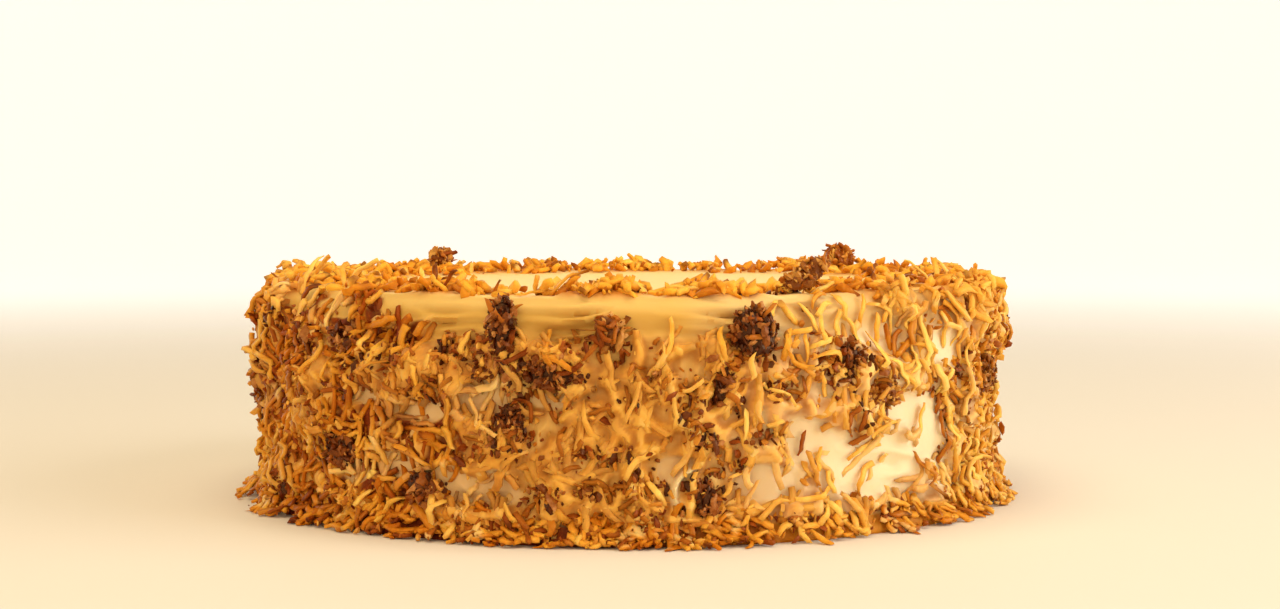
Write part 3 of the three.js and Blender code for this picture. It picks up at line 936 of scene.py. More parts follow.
# The scales of the noise that shapes the frosting.
frostingGrain = {
    "patches": 110.0, "ripples": 200.0, "folds": 75.0, "webs": 120.0, "crumbs": 420.0, "swirl": 22.0,
}


# Smears the frosting over the coconut pressed into it, and gives it its webs, folds, ripples and crumbs.
def smearFrosting(board, surface, given):
    place = board.position()
    facing = board.stored("facing", "FLOAT_VECTOR").unit()
    side, smear, coat, strewn, rim = (
        board.stored(word) for word in ("side", "smear", "coat", "strewn", "rim")
    )
    coated = board.node("GeometryNodeObjectInfo", {}, {"Object": given["Coconut"]}, 4)
    reach = given["Reach"]
    hit = board.node("GeometryNodeRaycast", {}, {
        "Target Geometry": coated, "Attribute": board.stored("tone"),
        "Source Position": place + facing * reach, "Ray Direction": facing * -1.0, "Ray Length": reach,
    })
    surface = board.store(surface, "tmpHeight", (reach - hit.also("Hit Distance")) * hit)
    surface = board.store(surface, "tone", hit.also("Attribute") * hit)
    raised = board.stored("tmpHeight")
    softened, smoothed = (
        board.node("GeometryNodeBlurAttribute", {"data_type": "FLOAT"}, {0: raised, 1: rounds})
        for rounds in (given["Softening"], given["Smoothing"])
    )
    calm = (smear * 1.4 - 0.4).most(0.0)
    softened = softened * (1 - calm * 0.75) + smoothed * (calm * 0.75)
    share = smear + coat * (1 - smear) * given["Clinging"]
    patchy = ((board.noise(place, frostingGrain["patches"]) - 0.42) * 6.0).least(1.0).most(-1.0)
    full = (softened / given["Full"]).least(1.0)
    film = given["Film"] * patchy * (smear + coat * 0.5).least(1.0) * full
    over = (softened * share.least(1.0) + film).least(given["Thickest"]) * side
    surface = board.store(surface, "under", full * side)
    rippled = board.noise(place, frostingGrain["ripples"]) - 0.5
    ripples = rippled * given["Ripples"] * side * (1 - rim * 0.8)
    folded = board.noise(place, frostingGrain["folds"], 1.0) - 0.5
    folds = folded * given["Folds"] * side * (1 - rim * 0.7)
    pulled = 1 - (board.noise(place, frostingGrain["webs"], 1.0) - 0.5).size() * 6.0
    webs = pulled.most(0.0) * given["Webs"] * side * (smear * 0.8 + coat * 0.4).least(1.0)
    gritty = (coat * (1 - smear) + strewn).least(1.0)
    crumbs = (board.noise(place, frostingGrain["crumbs"], 2.0, 0.6) - 0.4) * given["Crumbs"] * gritty
    stretched = place * board.vector(1.0, 1.0, 6.0)
    swirl = (board.noise(stretched, frostingGrain["swirl"], 1.0, 0.4) - 0.5) * given["Swirl"] * (1 - side)
    step = over + ripples + folds + webs + crumbs + swirl
    return board.moveAbove(surface, place + facing * step, 0.0)


# The frosting's colours: cream to the right of the side, and to its left and round the rim a deeper yellow
# that is painted warm light, where it is "edge" and lower down "low"; the rest is on top, on the lips, or
# what shows through or is smeared in, with painted shade in the hollows and along raised shreds. A pair is
# where a colour sets in and where it is full, in metres along x or up.
frostingLook = {
    "cream": (0.86, 0.72, 0.46), "warmLitYellow": (0.70, 0.46, 0.135), "edge": (0.61, 0.355, 0.075),
    "low": (0.69, 0.38, 0.08), "top": (0.94, 0.69, 0.29), "lip": (0.90, 0.71, 0.38),
    "tan": (0.75, 0.455, 0.125), "paintedContactShadow": (0.34, 0.09, 0.004), "web": (0.82, 0.50, 0.14),
    "crumb": [(0.3, (0.06, 0.003, 0.0001)), (0.5, (0.16, 0.013, 0.0002)), (0.7, (0.36, 0.075, 0.002))],
    "shred": [(0.12, (0.46, 0.135, 0.005)), (0.36, (0.64, 0.245, 0.016)), (0.6, (0.79, 0.39, 0.042)),
              (0.88, (0.90, 0.58, 0.15))],
    "broad": 35.0, "fine": 180.0, "grit": 380.0, "webbing": 150.0, "pores": 900.0,
    "toWarmLit": (0.05, 0.01), "rimWarmLit": (0.046, 0.053), "toEdge": (0.0565, 0.054), "toLow": (0.051, 0.046),
    "openCream": (0.047, 0.04), "goldenUp": (0.05, 0.054), "goldenAside": (-0.01, 0.04),
    "bump": (0.35, 0.4 * mm),
    "fixed": {
        "Subsurface Weight": 0.3, "Subsurface Radius": (1.0, 0.6, 0.3), "Subsurface Scale": 0.0015,
        "Specular IOR Level": 0.3, "Specular Tint": (1.0, 0.75, 0.42, 1.0),
    },
}


def frostingFinish(look):
    material, shader, board, place = newFinish("creamFrosting")
    smear, under, coat, strewn, tone = (
        board.painted(word) for word in ("smear", "under", "coat", "strewn", "tone")
    )
    across, up = place.part(0), place.part(2)
    broad = board.noise(place, look["broad"])
    fine = board.noise(place, look["fine"], 3.0, 0.6)
    grit = board.noise(place, look["grit"], 3.0, 0.65)
    # Aside is the share of the left side; there, and round the rim, the frosting takes a deeper yellow that
    # is painted warm light.
    aside = (across + (broad - 0.5) * 0.04).ramp(*look["toWarmLit"])
    aside = aside.most(up.ramp(*look["rimWarmLit"]) * 0.75)
    warmLitYellow = board.blend(up.ramp(*look["toEdge"]), look["warmLitYellow"], look["edge"])
    warmLitYellow = board.blend(up.ramp(*look["toLow"]), warmLitYellow, look["low"])
    aside = aside * (1 - board.painted("pale") * up.ramp(*look["openCream"]) * 0.4)
    colour = board.blend(board.painted("side"), look["top"], board.blend(aside, look["cream"], warmLitYellow))
    crumb = board.colours(grit, look["crumb"])
    # Shreds that show through take the same painted light and shade by side.
    shred = board.colours(tone * 0.55 + fine * 0.4 + broad * 0.7 - 0.35 + paintedSideLight(place), look["shred"])
    # Tan where coconut lies thick, most on the left: partly coconut smudged into the frosting, partly painted
    # shade.
    colour = board.blend((coat * aside.most(0.4) * (0.5 + fine)).least(0.95), colour, look["tan"])
    colour = board.blend((under * smear * (0.15 + 1.1 * fine)).least(0.8), colour, shred)
    # A painted contact shadow: a dark line along the edges of the shreds that the frosting is raised over.
    outline = under * (1 - under) * 3.4 * smear * (fine * 1.8 - 0.35).most(0.0)
    colour = board.blend(outline, colour, look["paintedContactShadow"])
    bare = ((coat - 0.35) * 1.6).most(0.0) * (1 - smear * 0.9)
    # Coconut matted into the frosting: shred colour on what is raised, and in the hollows between it the
    # darker crumb colour. There it is partly crumbs and partly painted shade.
    matted = board.blend(under.ramp(0.85, 0.3) * (0.45 + grit), shred, crumb)
    webbed = 1 - (board.noise(place, look["webbing"], 1.0) - 0.5).size() * 9.0
    matted = board.blend(webbed.most(0.0) * under * 0.6, matted, look["web"])
    colour = board.blend((bare * (0.55 + 0.75 * aside)).least(1.0), colour, matted)
    golden = up.ramp(*look["goldenUp"]).most(across.ramp(*look["goldenAside"]) * 0.8)
    colour = board.blend(strewn, colour, board.blend(golden, crumb, shred))
    colour = board.blend(board.painted("lip"), colour, look["lip"])
    bump = fine + board.noise(place, look["pores"]) * 0.3 + grit * coat
    finishShader(shader, board, colour, 0.42 + 0.2 * fine, bump, look)
    return material


frosting = grow("frosting", bedSurface, smearFrosting, {
    "Coconut": pressed, "Reach": 7.0 * mm, "Softening": 2, "Smoothing": 10, "Clinging": 0.92,
    "Full": 1.1 * mm, "Film": 0.5 * mm, "Thickest": 4.0 * mm, "Ripples": 0.6 * mm,
    "Folds": 2.4 * mm, "Webs": 1.5 * mm, "Crumbs": 1.4 * mm, "Swirl": 0.5 * mm,
}, frostingFinish(frostingLook), crispAngle, ())

# Shreds half sunk in the frosting, set in it and lying on it.
sunkShreds = strewShreds("sunken_coconut", frosting.data, "setCoconut", {
    "Seed": 37, "Cover": "sunk", "Density": 1.5, "Longest": 12.0, "Width": 1.35, "Thickness": 0.7,
    "Lift": 0.4, "Sunk": -0.2, "Lean": 2.0, "Turn spread": 130.0,
    "Roll": 0.25, "Twist": 0.3, "Bow": 0.03, "Drape": 1.0,
})
setShreds = strewShreds("coconut_shreds", frosting.data, "setCoconut", {
    "Seed": 17, "Cover": "set", "Density": 1.4, "Longest": 12.0, "Lift": 1.0, "Sunk": 0.0, "Lean": 6.0,
})
looseShreds = strewShreds("loose_coconut", frosting.data, "looseCoconut", {
    "Seed": 19, "Cover": "loose", "Density": 1.3, "Longest": 9.0, "Lift": 1.4, "Sunk": 0.2, "Lean": 16.0,
    "Turn spread": 150.0, "Drape": 0.7,
})
curls = strewShreds("coconut_curls", frosting.data, "looseCoconut", {
    "Seed": 23, "Cover": "curls", "Density": 0.8, "Shortest": 7.0, "Longest": 15.0, "Width": 1.2, "Lift": 0.9,
    "Sunk": 0.2, "Lean": 8.0, "Curl": 0.14, "Bow": 0.08, "Pieces": 8,
})
webs = strewShreds("coconut_webs", frosting.data, "webCoconut", {
    "Seed": 31, "Cover": "webs", "Density": 1.3, "Shortest": 4.0, "Longest": 12.0, "Width": 1.4,
    "Thickness": 1.0, "Lift": 2.8, "Sunk": 0.2, "Lean": 10.0, "Curl": 0.14, "Bow": 0.12, "Pieces": 6,
})
chips = strewShreds("coconut_chips", frosting.data, "looseCoconut", {
    "Seed": 11, "Cover": "loose", "Density": 1.4, "Shortest": 1.5, "Longest": 4.5, "Lift": 1.3, "Sunk": 0.0,
    "Lean": 35.0, "Turn spread": 180.0, "Roll": 1.0, "Pieces": 3,
}, cutAngle)
toasted = strewShreds("toasted_coconut", frosting.data, "toastedCoconut", {
    "Seed": 29, "Cover": "dark", "Density": 3.0, "Shortest": 2.0, "Longest": 7.0, "Width": 0.95, "Lift": 0.8,
    "Sunk": 0.0, "Lean": 15.0, "Turn spread": 180.0, "Pieces": 4,
})
crownShreds = strewShreds("crown_coconut", frosting.data, "crownCoconut", {
    "Seed": 41, "Cover": "crown", "Density": 10.5, "Shortest": 2.8, "Longest": 7.5, "Width": 1.9,
    "Thickness": 1.15, "Lift": 1.9, "Sunk": 0.0, "Lean": 50.0, "Turn spread": 360.0, "Roll": 1.2, "Pieces": 4,
    "Drape": 0.5,
})

# Shreds that stand out one by one: angle, height (60 = on the ring), turn (0 = right, 90 = up), length, curl,
# bow, lean, tone and how dark the end is.
singles = {
    "dark": [
        (-2.5, 52.5, 155, 5.0, 0.1, 0.1, 10, 0.5, 0.6), (-1.2, 52.5, 25, 5.5, -0.15, 0.1, 12, 0.6, 0.7),
        (-4.3, 47.5, 238, 9.0, 0.05, 0.1, 8, 0.75, 0.2), (-1.2, 47.0, 290, 7.5, 0.1, 0.1, 8, 0.5, 0.6),
        (-2.4, 49.5, 95, 6.0, 0.0, 0.1, 20, 0.4, 0.5), (47.0, 12.5, 302, 15.0, -0.04, 0.05, 6, 0.85, 0.95),
        (31.0, 29.5, 60, 6.0, 0.15, 0.08, 4, 0.2, 0.5), (33.0, 28.0, 100, 5.0, 0.0, 0.08, 4, 0.3, 0.5),
        (24.0, 23.5, 75, 5.5, 0.0, 0.08, 4, 0.3, 0.5), (33.0, 23.5, 30, 4.5, 0.0, 0.08, 4, 0.4, 0.5),
        (50.5, 31.0, 80, 7.0, 0.1, 0.1, 6, 0.45, 0.5), (51.0, 24.5, 100, 7.0, 0.1, 0.1, 6, 0.5, 0.4),
        (51.5, 18.5, 85, 7.0, 0.0, 0.1, 6, 0.45, 0.4), (40.5, 46.5, 60, 7.5, 0.1, 0.1, 8, 0.6, 0.5),
        (-15.0, 44.5, 200, 9.0, 0.12, 0.1, 8, 0.5, 0.5), (-8.0, 41.5, 20, 8.0, -0.1, 0.1, 10, 0.45, 0.5),
        (-58.0, 56.5, 62, 9.0, 0.1, 0.1, 12, 0.5, 0.6), (-45.5, 57.0, 60, 6.0, 0.05, 0.1, 20, 0.3, 0.5),
        (-32.5, 60.0, 0, 6.0, 0.0, 0.0, 85, 0.5, 0.6), (-29.8, 60.0, 10, 6.0, 0.0, 0.05, 55, 0.5, 0.6),
        (-21.0, 60.0, 0, 3.5, 0.0, 0.0, 60, 0.6, 0.6), (44.0, 60.0, 60, 5.0, 0.0, 0.0, 50, 0.5, 0.6),
        (50.0, 60.0, 20, 7.0, 0.1, 0.1, 16, 0.7, 0.6), (56.0, 60.0, 160, 7.0, 0.0, 0.1, 20, 0.6, 0.6),
        (62.0, 60.0, 15, 8.0, 0.1, 0.1, 24, 0.75, 0.5), (69.0, 60.0, 145, 8.0, -0.1, 0.1, 22, 0.7, 0.6),
        (78.0, 60.0, 30, 7.5, 0.0, 0.1, 24, 0.75, 0.5), (84.0, 60.0, 120, 7.0, 0.1, 0.1, 20, 0.6, 0.6),
        (13.5, 35.0, 320, 9.0, 0.1, 0.08, 6, 0.6, 0.3), (-13.5, 32.5, 120, 7.0, -0.3, 0.1, 6, 0.7, 0.8),
    ],
    "golden": [
        (-10.5, 46.5, 100, 9.0, 0.1, 0.1, 8, 0.7, 0.3), (-8.8, 43.5, 335, 9.0, 0.05, 0.1, 10, 0.75, 0.3),
        (5.5, 49.0, 80, 9.5, -0.1, 0.1, 6, 0.75, 0.1), (12.5, 47.0, 100, 9.0, 0.15, 0.12, 12, 0.8, 0.3),
        (22.5, 54.0, 125, 8.0, 0.1, 0.1, 8, 0.6, 0.7), (25.5, 53.0, 115, 8.0, 0.0, 0.1, 8, 0.7, 0.4),
        (23.5, 50.0, 20, 7.0, 0.1, 0.1, 8, 0.6, 0.3), (21.5, 47.0, 75, 8.0, 0.1, 0.1, 8, 0.6, 0.3),
        (24.5, 46.0, 100, 7.0, 0.0, 0.1, 8, 0.65, 0.3), (20.2, 55.0, 60, 6.0, 0.0, 0.1, 8, 0.7, 0.3),
        (31.5, 55.5, 100, 7.0, 0.0, 0.1, 8, 0.75, 0.3), (35.0, 54.5, 75, 7.5, 0.1, 0.1, 8, 0.7, 0.3),
        (18.0, 49.5, 60, 6.0, 0.0, 0.1, 8, 0.65, 0.4), (28.0, 55.0, 35, 7.0, 0.1, 0.1, 8, 0.7, 0.4),
        (26.8, 50.0, 95, 7.0, 0.1, 0.1, 8, 0.7, 0.3), (23.0, 43.0, 150, 9.0, 0.15, 0.1, 8, 0.6, 0.3),
        (30.0, 51.5, 80, 7.5, 0.15, 0.1, 6, 0.7, 0.6), (33.0, 50.0, 112, 7.0, -0.1, 0.1, 6, 0.85, 0.2),
        (37.5, 49.5, 85, 8.0, 0.1, 0.1, 8, 0.6, 0.4), (39.5, 53.0, 130, 12.0, -0.3, 0.12, 8, 0.7, 0.6),
        (42.5, 52.5, 100, 7.0, 0.1, 0.1, 8, 0.75, 0.3), (45.5, 46.5, 90, 16.0, 0.02, 0.06, 4, 0.95, 0.2),
        (43.5, 43.0, 80, 9.0, -0.2, 0.1, 8, 0.85, 0.3), (47.5, 41.5, 92, 6.5, 0.0, 0.1, 6, 0.85, 0.2),
        (36.5, 44.0, 85, 9.5, -0.3, 0.14, 10, 0.75, 0.2), (40.5, 39.0, 130, 11.0, -0.12, 0.1, 8, 0.8, 0.3),
        (52.5, 48.5, 105, 9.5, 0.0, 0.1, 6, 0.9, 0.2), (55.0, 50.0, 110, 13.0, -0.2, 0.1, 8, 0.85, 0.2),
        (58.0, 40.0, 100, 11.0, 0.05, 0.1, 6, 0.85, 0.2), (75.0, 48.0, 120, 12.0, -0.4, 0.12, 12, 0.75, 0.3),
        (26.5, 47.5, 20, 6.0, 0.1, 0.1, 6, 0.8, 0.2), (28.5, 43.5, 150, 11.0, -0.4, 0.12, 8, 0.65, 0.2),
        (27.0, 37.5, 105, 6.5, 0.0, 0.1, 6, 0.7, 0.6), (36.5, 28.5, 85, 8.0, 0.05, 0.06, 3, 0.55, 0.2),
        (38.0, 26.0, 20, 10.0, 0.1, 0.06, 2, 0.6, 0.2), (34.5, 21.0, 15, 11.0, 0.1, 0.06, 2, 0.55, 0.2),
        (34.5, 14.0, 62, 9.0, 0.28, 0.06, 4, 0.8, 0.2), (46.0, 26.5, 75, 8.0, 0.1, 0.06, 4, 0.8, 0.2),
        (48.0, 14.0, 15, 6.0, 0.0, 0.06, 6, 0.6, 0.2), (56.0, 11.5, 110, 9.0, 0.0, 0.08, 6, 0.9, 0.2),
        (60.0, 12.0, 130, 9.0, 0.05, 0.1, 8, 0.8, 0.2), (26.5, 19.5, 70, 6.0, 0.0, 0.06, 4, 0.55, 0.2),
        (28.5, 13.5, 110, 6.0, 0.1, 0.06, 4, 0.85, 0.2), (30.0, 5.5, 130, 9.5, 0.0, 0.1, 10, 0.85, 0.2),
        (50.5, 36.0, 80, 8.0, 0.1, 0.1, 8, 0.8, 0.2), (63.0, 45.0, 95, 10.0, 0.1, 0.1, 8, 0.8, 0.3),
        (66.0, 33.0, 80, 9.0, 0.1, 0.1, 8, 0.75, 0.3), (53.0, 22.0, 95, 8.0, 0.1, 0.08, 6, 0.8, 0.3),
        (4.0, 12.0, 120, 8.5, -0.1, 0.15, 18, 0.95, 0.1), (25.5, 11.0, 15, 14.0, -0.12, 0.08, 3, 0.5, 0.3),
        (-28.5, 38.0, 100, 8.0, 0.0, 0.1, 10, 0.8, 0.1), (-29.0, 33.5, 70, 10.0, 0.1, 0.1, 14, 0.7, 0.7),
        (-33.5, 45.0, 10, 11.0, -0.1, 0.1, 10, 0.7, 0.3), (-47.0, 37.0, 80, 12.0, 0.05, 0.1, 10, 0.75, 0.3),
        (-17.0, 9.0, 325, 14.0, 0.08, 0.12, 10, 0.8, 0.3), (27.5, 7.0, 235, 9.0, 0.0, 0.1, 14, 0.75, 0.3),
        (15.5, 28.0, 85, 8.0, 0.0, 0.1, 15, 0.9, 0.2), (-56.0, 60.0, 150, 11.0, 0.1, 0.12, 38, 0.8, 0.5),
        (-50.0, 60.0, 20, 12.0, -0.05, 0.1, 42, 0.85, 0.2), (-76.0, 60.0, 150, 11.0, 0.1, 0.1, 40, 0.85, 0.4),
        (-68.0, 60.0, 25, 12.0, 0.05, 0.1, 44, 0.8, 0.3), (-72.0, 60.0, 80, 9.0, 0.1, 0.1, 35, 0.7, 0.5),
        (58.0, 60.0, 120, 9.0, 0.1, 0.1, 42, 0.8, 0.4), (75.0, 60.0, 60, 8.0, 0.1, 0.1, 45, 0.8, 0.4),
        (-14.5, 60.0, 0, 4.5, 0.0, 0.0, 80, 0.6, 0.6),
        (-9.6, 60.0, 5, 11.0, 0.05, 0.1, 28, 0.7, 0.8), (-14.5, 60.0, 3, 10.0, 0.03, 0.05, 4, 0.6, 0.6),
        (9.0, 60.0, 175, 10.0, 0.05, 0.05, 6, 0.85, 0.3), (33.0, 60.0, 5, 9.0, -0.1, 0.1, 12, 0.85, 0.3),
        (66.0, 60.0, 30, 9.0, 0.0, 0.1, 50, 0.75, 0.4), (-37.0, 44.0, 30, 10.0, -0.5, 0.15, 12, 0.7, 0.3),
    ],
}


# How they lie: how deep in the side, how far out on the ring, how high above either, and how much higher
# a tilted one is on the ring.
singleShape = {"depth": 0.5, "ringRadius": 89.0, "lift": 1.1, "ringLift": 0.9, "tilted": 0.42, "pieces": 9}


def singlePoints(name):
    rows = np.array(singles[name], float)
    degrees, height, turn, length, curl, bow, lean, tone, toast = rows.T
    angle, lean = np.radians(degrees), np.radians(lean)
    rounding = cake["rimRounding"]
    level = cake["height"] - rounding
    onRing = height > cake["height"]
    radius = wallRadius(height) - singleShape["depth"]
    radius = radius - np.clip(height - level, 0, rounding) ** 2 / (2 * rounding)
    radius = np.where(onRing, singleShape["ringRadius"], radius)
    height = np.where(onRing, cake["height"], height)
    out = np.stack([np.sin(angle), -np.cos(angle), np.clip((height - level) / rounding, 0, 1)], 1)
    out[onRing] = (0, 0, 1)
    place = np.stack([radius * np.sin(angle), -radius * np.cos(angle), height], 1)
    mesh = bpy.data.meshes.new(name)
    mesh.from_pydata((place * mm).tolist(), [], [])
    addVector(mesh, "facing", out)
    ringLift = singleShape["ringLift"] + singleShape["tilted"] * length * np.sin(lean)
    count = np.arange(len(rows))
    numbers = {
        "turn": np.radians(turn),
        "length": length * mm,
        "curl": curl,
        "bow": bow,
        "lean": lean,
        "tone": tone,
        "toast": toast,
        "lift": np.where(onRing, ringLift, singleShape["lift"]) * mm,
        "wide": (1.25 + 0.2 * np.sin(count * 2.1)) * mm,
        "thick": (0.6 + 0.1 * np.sin(count * 3.7)) * mm,
        "wave": 0.06 * np.sin(count * 1.3),
        "roll": 0.35 * np.sin(count * 4.1),
        "twist": 0.4 * np.sin(count * 2.9),
        "slant": np.sin(count * 5.3),
        "sway": np.full(len(rows), 0.1),
    }
    for word, values in numbers.items():
        addFloat(mesh, "tmp_" + word, values)
    return mesh


singleValues = {"Onto": frosting, "Pieces": singleShape["pieces"]}
darkSingles, goldenSingles = (
    grow(kind + "_singles", singlePoints(kind), laySingly, singleValues, coconutFinishes[finish])
    for kind, finish in (("dark", "toastedCoconut"), ("golden", "looseCoconut"))
)

footSlope = footMesh()
footShreds = strewShreds("foot_coconut", footSlope, "setCoconut", {
    "Seed": 53, "Cover": "foot", "Density": 21.0, "Shortest": 2.0, "Longest": 8.0, "Width": 1.3, "Lift": 1.8,
    "Sunk": 0.0, "Lean": 14.0, "Turn": 0.0, "Turn spread": 200.0, "Drape": 0.4, "Tones": 0.8,
})
footToasted = strewShreds("foot_toasted", footSlope, "toastedCoconut", {
    "Seed": 59, "Cover": "heel", "Density": 9.0, "Shortest": 1.6, "Longest": 6.0, "Width": 1.3, "Lift": 1.9,
    "Sunk": 0.0, "Lean": 18.0, "Turn": 0.0, "Turn spread": 250.0, "Pieces": 3, "Drape": 0.4,
})
print("coconut laid")

# How far a nut cluster departs from the usual one: how much of it is golden coconut instead of dark nuts
# (usually 0), and its crumbs and its shreds as shares of the usual number.
clusterKinds = {
    "cluster_rim_bar": {"fair": 0.45, "crumbs": 0.7, "shreds": 2.0},
    "cluster_centre_star": {"fair": 0.35, "crumbs": 0.6, "shreds": 4.0},
    "cluster_top_back_right": {"fair": 1.0, "crumbs": 0.7, "shreds": 2.0},
    "cluster_top_back_left": {"fair": 0.55},
    "cluster_right_large": {"crumbs": 0.75},
    "cluster_right_brown": {"fair": 0.6},
    "cluster_right_far": {"fair": 0.3},
    "cluster_right_edge": {"fair": 0.5},
    "cluster_back_two": {"fair": 0.4},
}


def middleOf(name):
    return sum((Vector(corner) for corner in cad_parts[name].bound_box), Vector()) / 8


# The solids' own lumps with their doubles merged, as one mesh.
def clusterLumps(names):
    whole = bmesh.new()
    for name in names:
        whole.from_mesh(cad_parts[name].data)
    bmesh.ops.remove_doubles(whole, verts=whole.verts, dist=0.00001)
    whole.normal_update()
    middles = {name: middleOf(name) for name in names}
    nearest = [min(names, key=lambda name: (vertex.co - middles[name]).length) for vertex in whole.verts]
    facing = np.array([vertex.normal for vertex in whole.verts])
    mesh = bpy.data.meshes.new("clusterLumps")
    whole.to_mesh(mesh)
    whole.free()
    for layer, key, usual in (("all", "crumbs", 1.0), ("thread", "shreds", 1.0), ("fair", "fair", 0.0)):
        addFloat(mesh, layer, np.array([clusterKinds.get(name, {}).get(key, usual) for name in nearest]))
    addVector(mesh, "facing", facing)
    return mesh


def roughenLumps(board, surface, given):
    finer = board.node("GeometryNodeSubdivideMesh", {}, {0: surface, 1: given["Finer"]})
    place = board.position()
    face = board.node("GeometryNodeInputNormal")
    crags = (board.noise(place, given["Crag scale"], 2.0, 0.6) - 0.62) * given["Crags"]
    step = crags + (board.noise(place, given["Lump scale"]) - 0.5) * given["Lumps"]
    return board.move(finer, place + face * step)


# Crumbs all over a surface, each a chunky lump with its own size, stretch and tone. Here too the order of
# the draws counts.
def strewCrumbs(board, surface, given):
    seed = given["Seed"]
    cover = (coverOf(board, given) - given["Least"]).most(0.0)
    cover = cover * (1 - board.stored("under") * given["Hollows"]).most(0.0)
    cover = cover * (1 - board.stored("smear") * given["Unsmeared"])
    points = pointsOver(board, surface, given["Density"] * cover, seed)
    face = board.stored("facing", "FLOAT_VECTOR").unit()
    place = board.position()
    small = board.random(0.0, 1.0, seed)
    size = given["Smallest"] + (given["Largest"] - given["Smallest"]) * small * small * small
    lift = size * given["Proud"] + board.random(0.0, 1.0, seed) * given["Lift"]
    points = board.store(points, "tmpRoot", place + face * lift)
    sides = ((0.9, 2.1), (0.5, 1.1), (0.35, 0.8))  # a crumb's length, width and thickness, in sizes
    shape = board.vector(*(board.random(least, most, seed) for least, most in sides))
    points = board.store(points, "tmpShape", shape * size)
    tumble = board.vector(*(board.random(-9.0, 9.0, seed) for axis in range(3)))
    points = board.store(points, "tmpShift", tumble)
    points = board.store(points, "tone", board.random(0.0, 1.0, seed))
    lump = board.node("GeometryNodeMeshIcoSphere", {}, {0: 0.5, 1: given["Facets"]})
    lump = board.store(lump, "tmpLocal", board.position())
    laid = board.node("GeometryNodeInstanceOnPoints", {}, {"Points": points, "Instance": lump})
    real = board.node("GeometryNodeRealizeInstances", {}, {0: laid})
    local, shape, shift, root = (
        board.stored("tmp" + word, "FLOAT_VECTOR") for word in ("Local", "Shape", "Shift", "Root")
    )
    craggy = 0.05 + 1.9 * board.noise(local + shift, 3.0, 1.0)
    rolled = board.node("ShaderNodeVectorRotate", {"rotation_type": "EULER_XYZ"}, {
        "Vector": local * shape * craggy, "Rotation": shift,
    })
    return board.moveAbove(real, root + rolled, footGap)


# "Proud" is a share of a crumb's size. Crumbs set in where the cover is over "Least"; "Hollows" keeps them
# off what is raised and "Unsmeared" off what is smeared.
usualCrumb = {
    "Seed": 1, "Cover": "all", "Density": 40.0, "Smallest": 0.8, "Largest": 2.0, "Proud": 0.2, "Lift": 0.6,
    "Facets": 1, "Hollows": 0.0, "Unsmeared": 0.0, "Least": 0.0,
}
# The finishes of crumbs, from dark to pale, and how rough they are at least.
crumbLooks = {
    "nutBrown": {
        "stops": [(0.2, (0.034, 0.0035, 0.0004)), (0.45, (0.12, 0.022, 0.0022)), (0.7, (0.28, 0.078, 0.012)),
                  (0.95, (0.60, 0.27, 0.07))],
        "roughness": 0.15,
    },
    "sugarCrumb": {
        "stops": [(0.15, (0.12, 0.014, 0.0008)), (0.4, (0.31, 0.064, 0.0045)), (0.65, (0.58, 0.22, 0.018)),
                  (0.92, (0.85, 0.47, 0.08))],
        "roughness": 0.22,
    },
    "goldenCrumb": {
        "stops": [(0.15, (0.34, 0.07, 0.002)), (0.4, (0.60, 0.20, 0.010)), (0.65, (0.84, 0.41, 0.035)),
                  (0.92, (0.94, 0.64, 0.16))],
        "roughness": 0.3,
    },
}
# What all crumbs share: the scales of their grain, the stops of the fair ones, their bump and their body.
crumbBody = {
    "fine": 800.0, "coarse": 260.0, "bump": (0.7, 0.4 * mm),
    "fair": [(0.2, (0.28, 0.065, 0.004)), (0.5, (0.58, 0.22, 0.022)), (0.85, (0.86, 0.50, 0.11))],
    "fixed": {
        "Subsurface Weight": 0.15, "Subsurface Radius": (1.0, 0.4, 0.15), "Subsurface Scale": 0.0008,
        "Specular IOR Level": 0.45, "Specular Tint": (1.0, 0.62, 0.32, 1.0),
    },
}


def crumbFinish(name, look):
    material, shader, board, place = newFinish(name)
    fine = board.noise(place, crumbBody["fine"], 3.0, 0.6)
    coarse = board.noise(place, crumbBody["coarse"], 2.0, 0.6)
    value = board.painted("tone") * 0.75 + fine * 0.35 + coarse * 0.5 - 0.3
    golden = board.colours(value, crumbBody["fair"])
    colour = board.blend(board.painted("fair"), board.colours(value, look["stops"]), golden)
    roughness = look["roughness"] + 0.3 * fine
    finishShader(shader, board, colour, roughness, coarse + fine, crumbBody)
    return material


crumbFinishes = {name: crumbFinish(name, look) for name, look in crumbLooks.items()}


def sprinkle(name, host, finish, kind):
    return grow(name, host, strewCrumbs, valuesOf(usualCrumb, kind), crumbFinishes[finish], crumbAngle)


clusterNames = sorted(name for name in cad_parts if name.startswith("cluster_"))
lumps = clusterLumps(clusterNames)
coreValues = {"Finer": 2, "Crags": 2.0 * mm, "Crag scale": 420.0, "Lumps": 3.0 * mm, "Lump scale": 190.0}
clusterCores = grow("cluster_cores", lumps, roughenLumps, coreValues, crumbFinishes["nutBrown"], cutAngle)
clusterCrumbs = sprinkle("cluster_crumbs", lumps, "nutBrown", {
    "Seed": 71, "Density": 42.0, "Smallest": 1.1, "Largest": 3.2, "Proud": -0.2, "Lift": 0.4, "Facets": 2,
})
clusterGrains = sprinkle("cluster_grains", lumps, "nutBrown", {
    "Seed": 73, "Density": 26.0, "Smallest": 0.7, "Largest": 1.5, "Proud": 0.1, "Lift": 0.6,
})
clusterShreds = strewShreds("cluster_shreds", lumps, "toastedCoconut", {
    "Seed": 61, "Cover": "thread", "Density": 5.0, "Shortest": 1.5, "Longest": 6.0, "Width": 1.0, "Lift": 0.9,
    "Sunk": 0.0, "Lean": 30.0, "Turn spread": 360.0, "Pieces": 4, "Drape": 0.0,
})
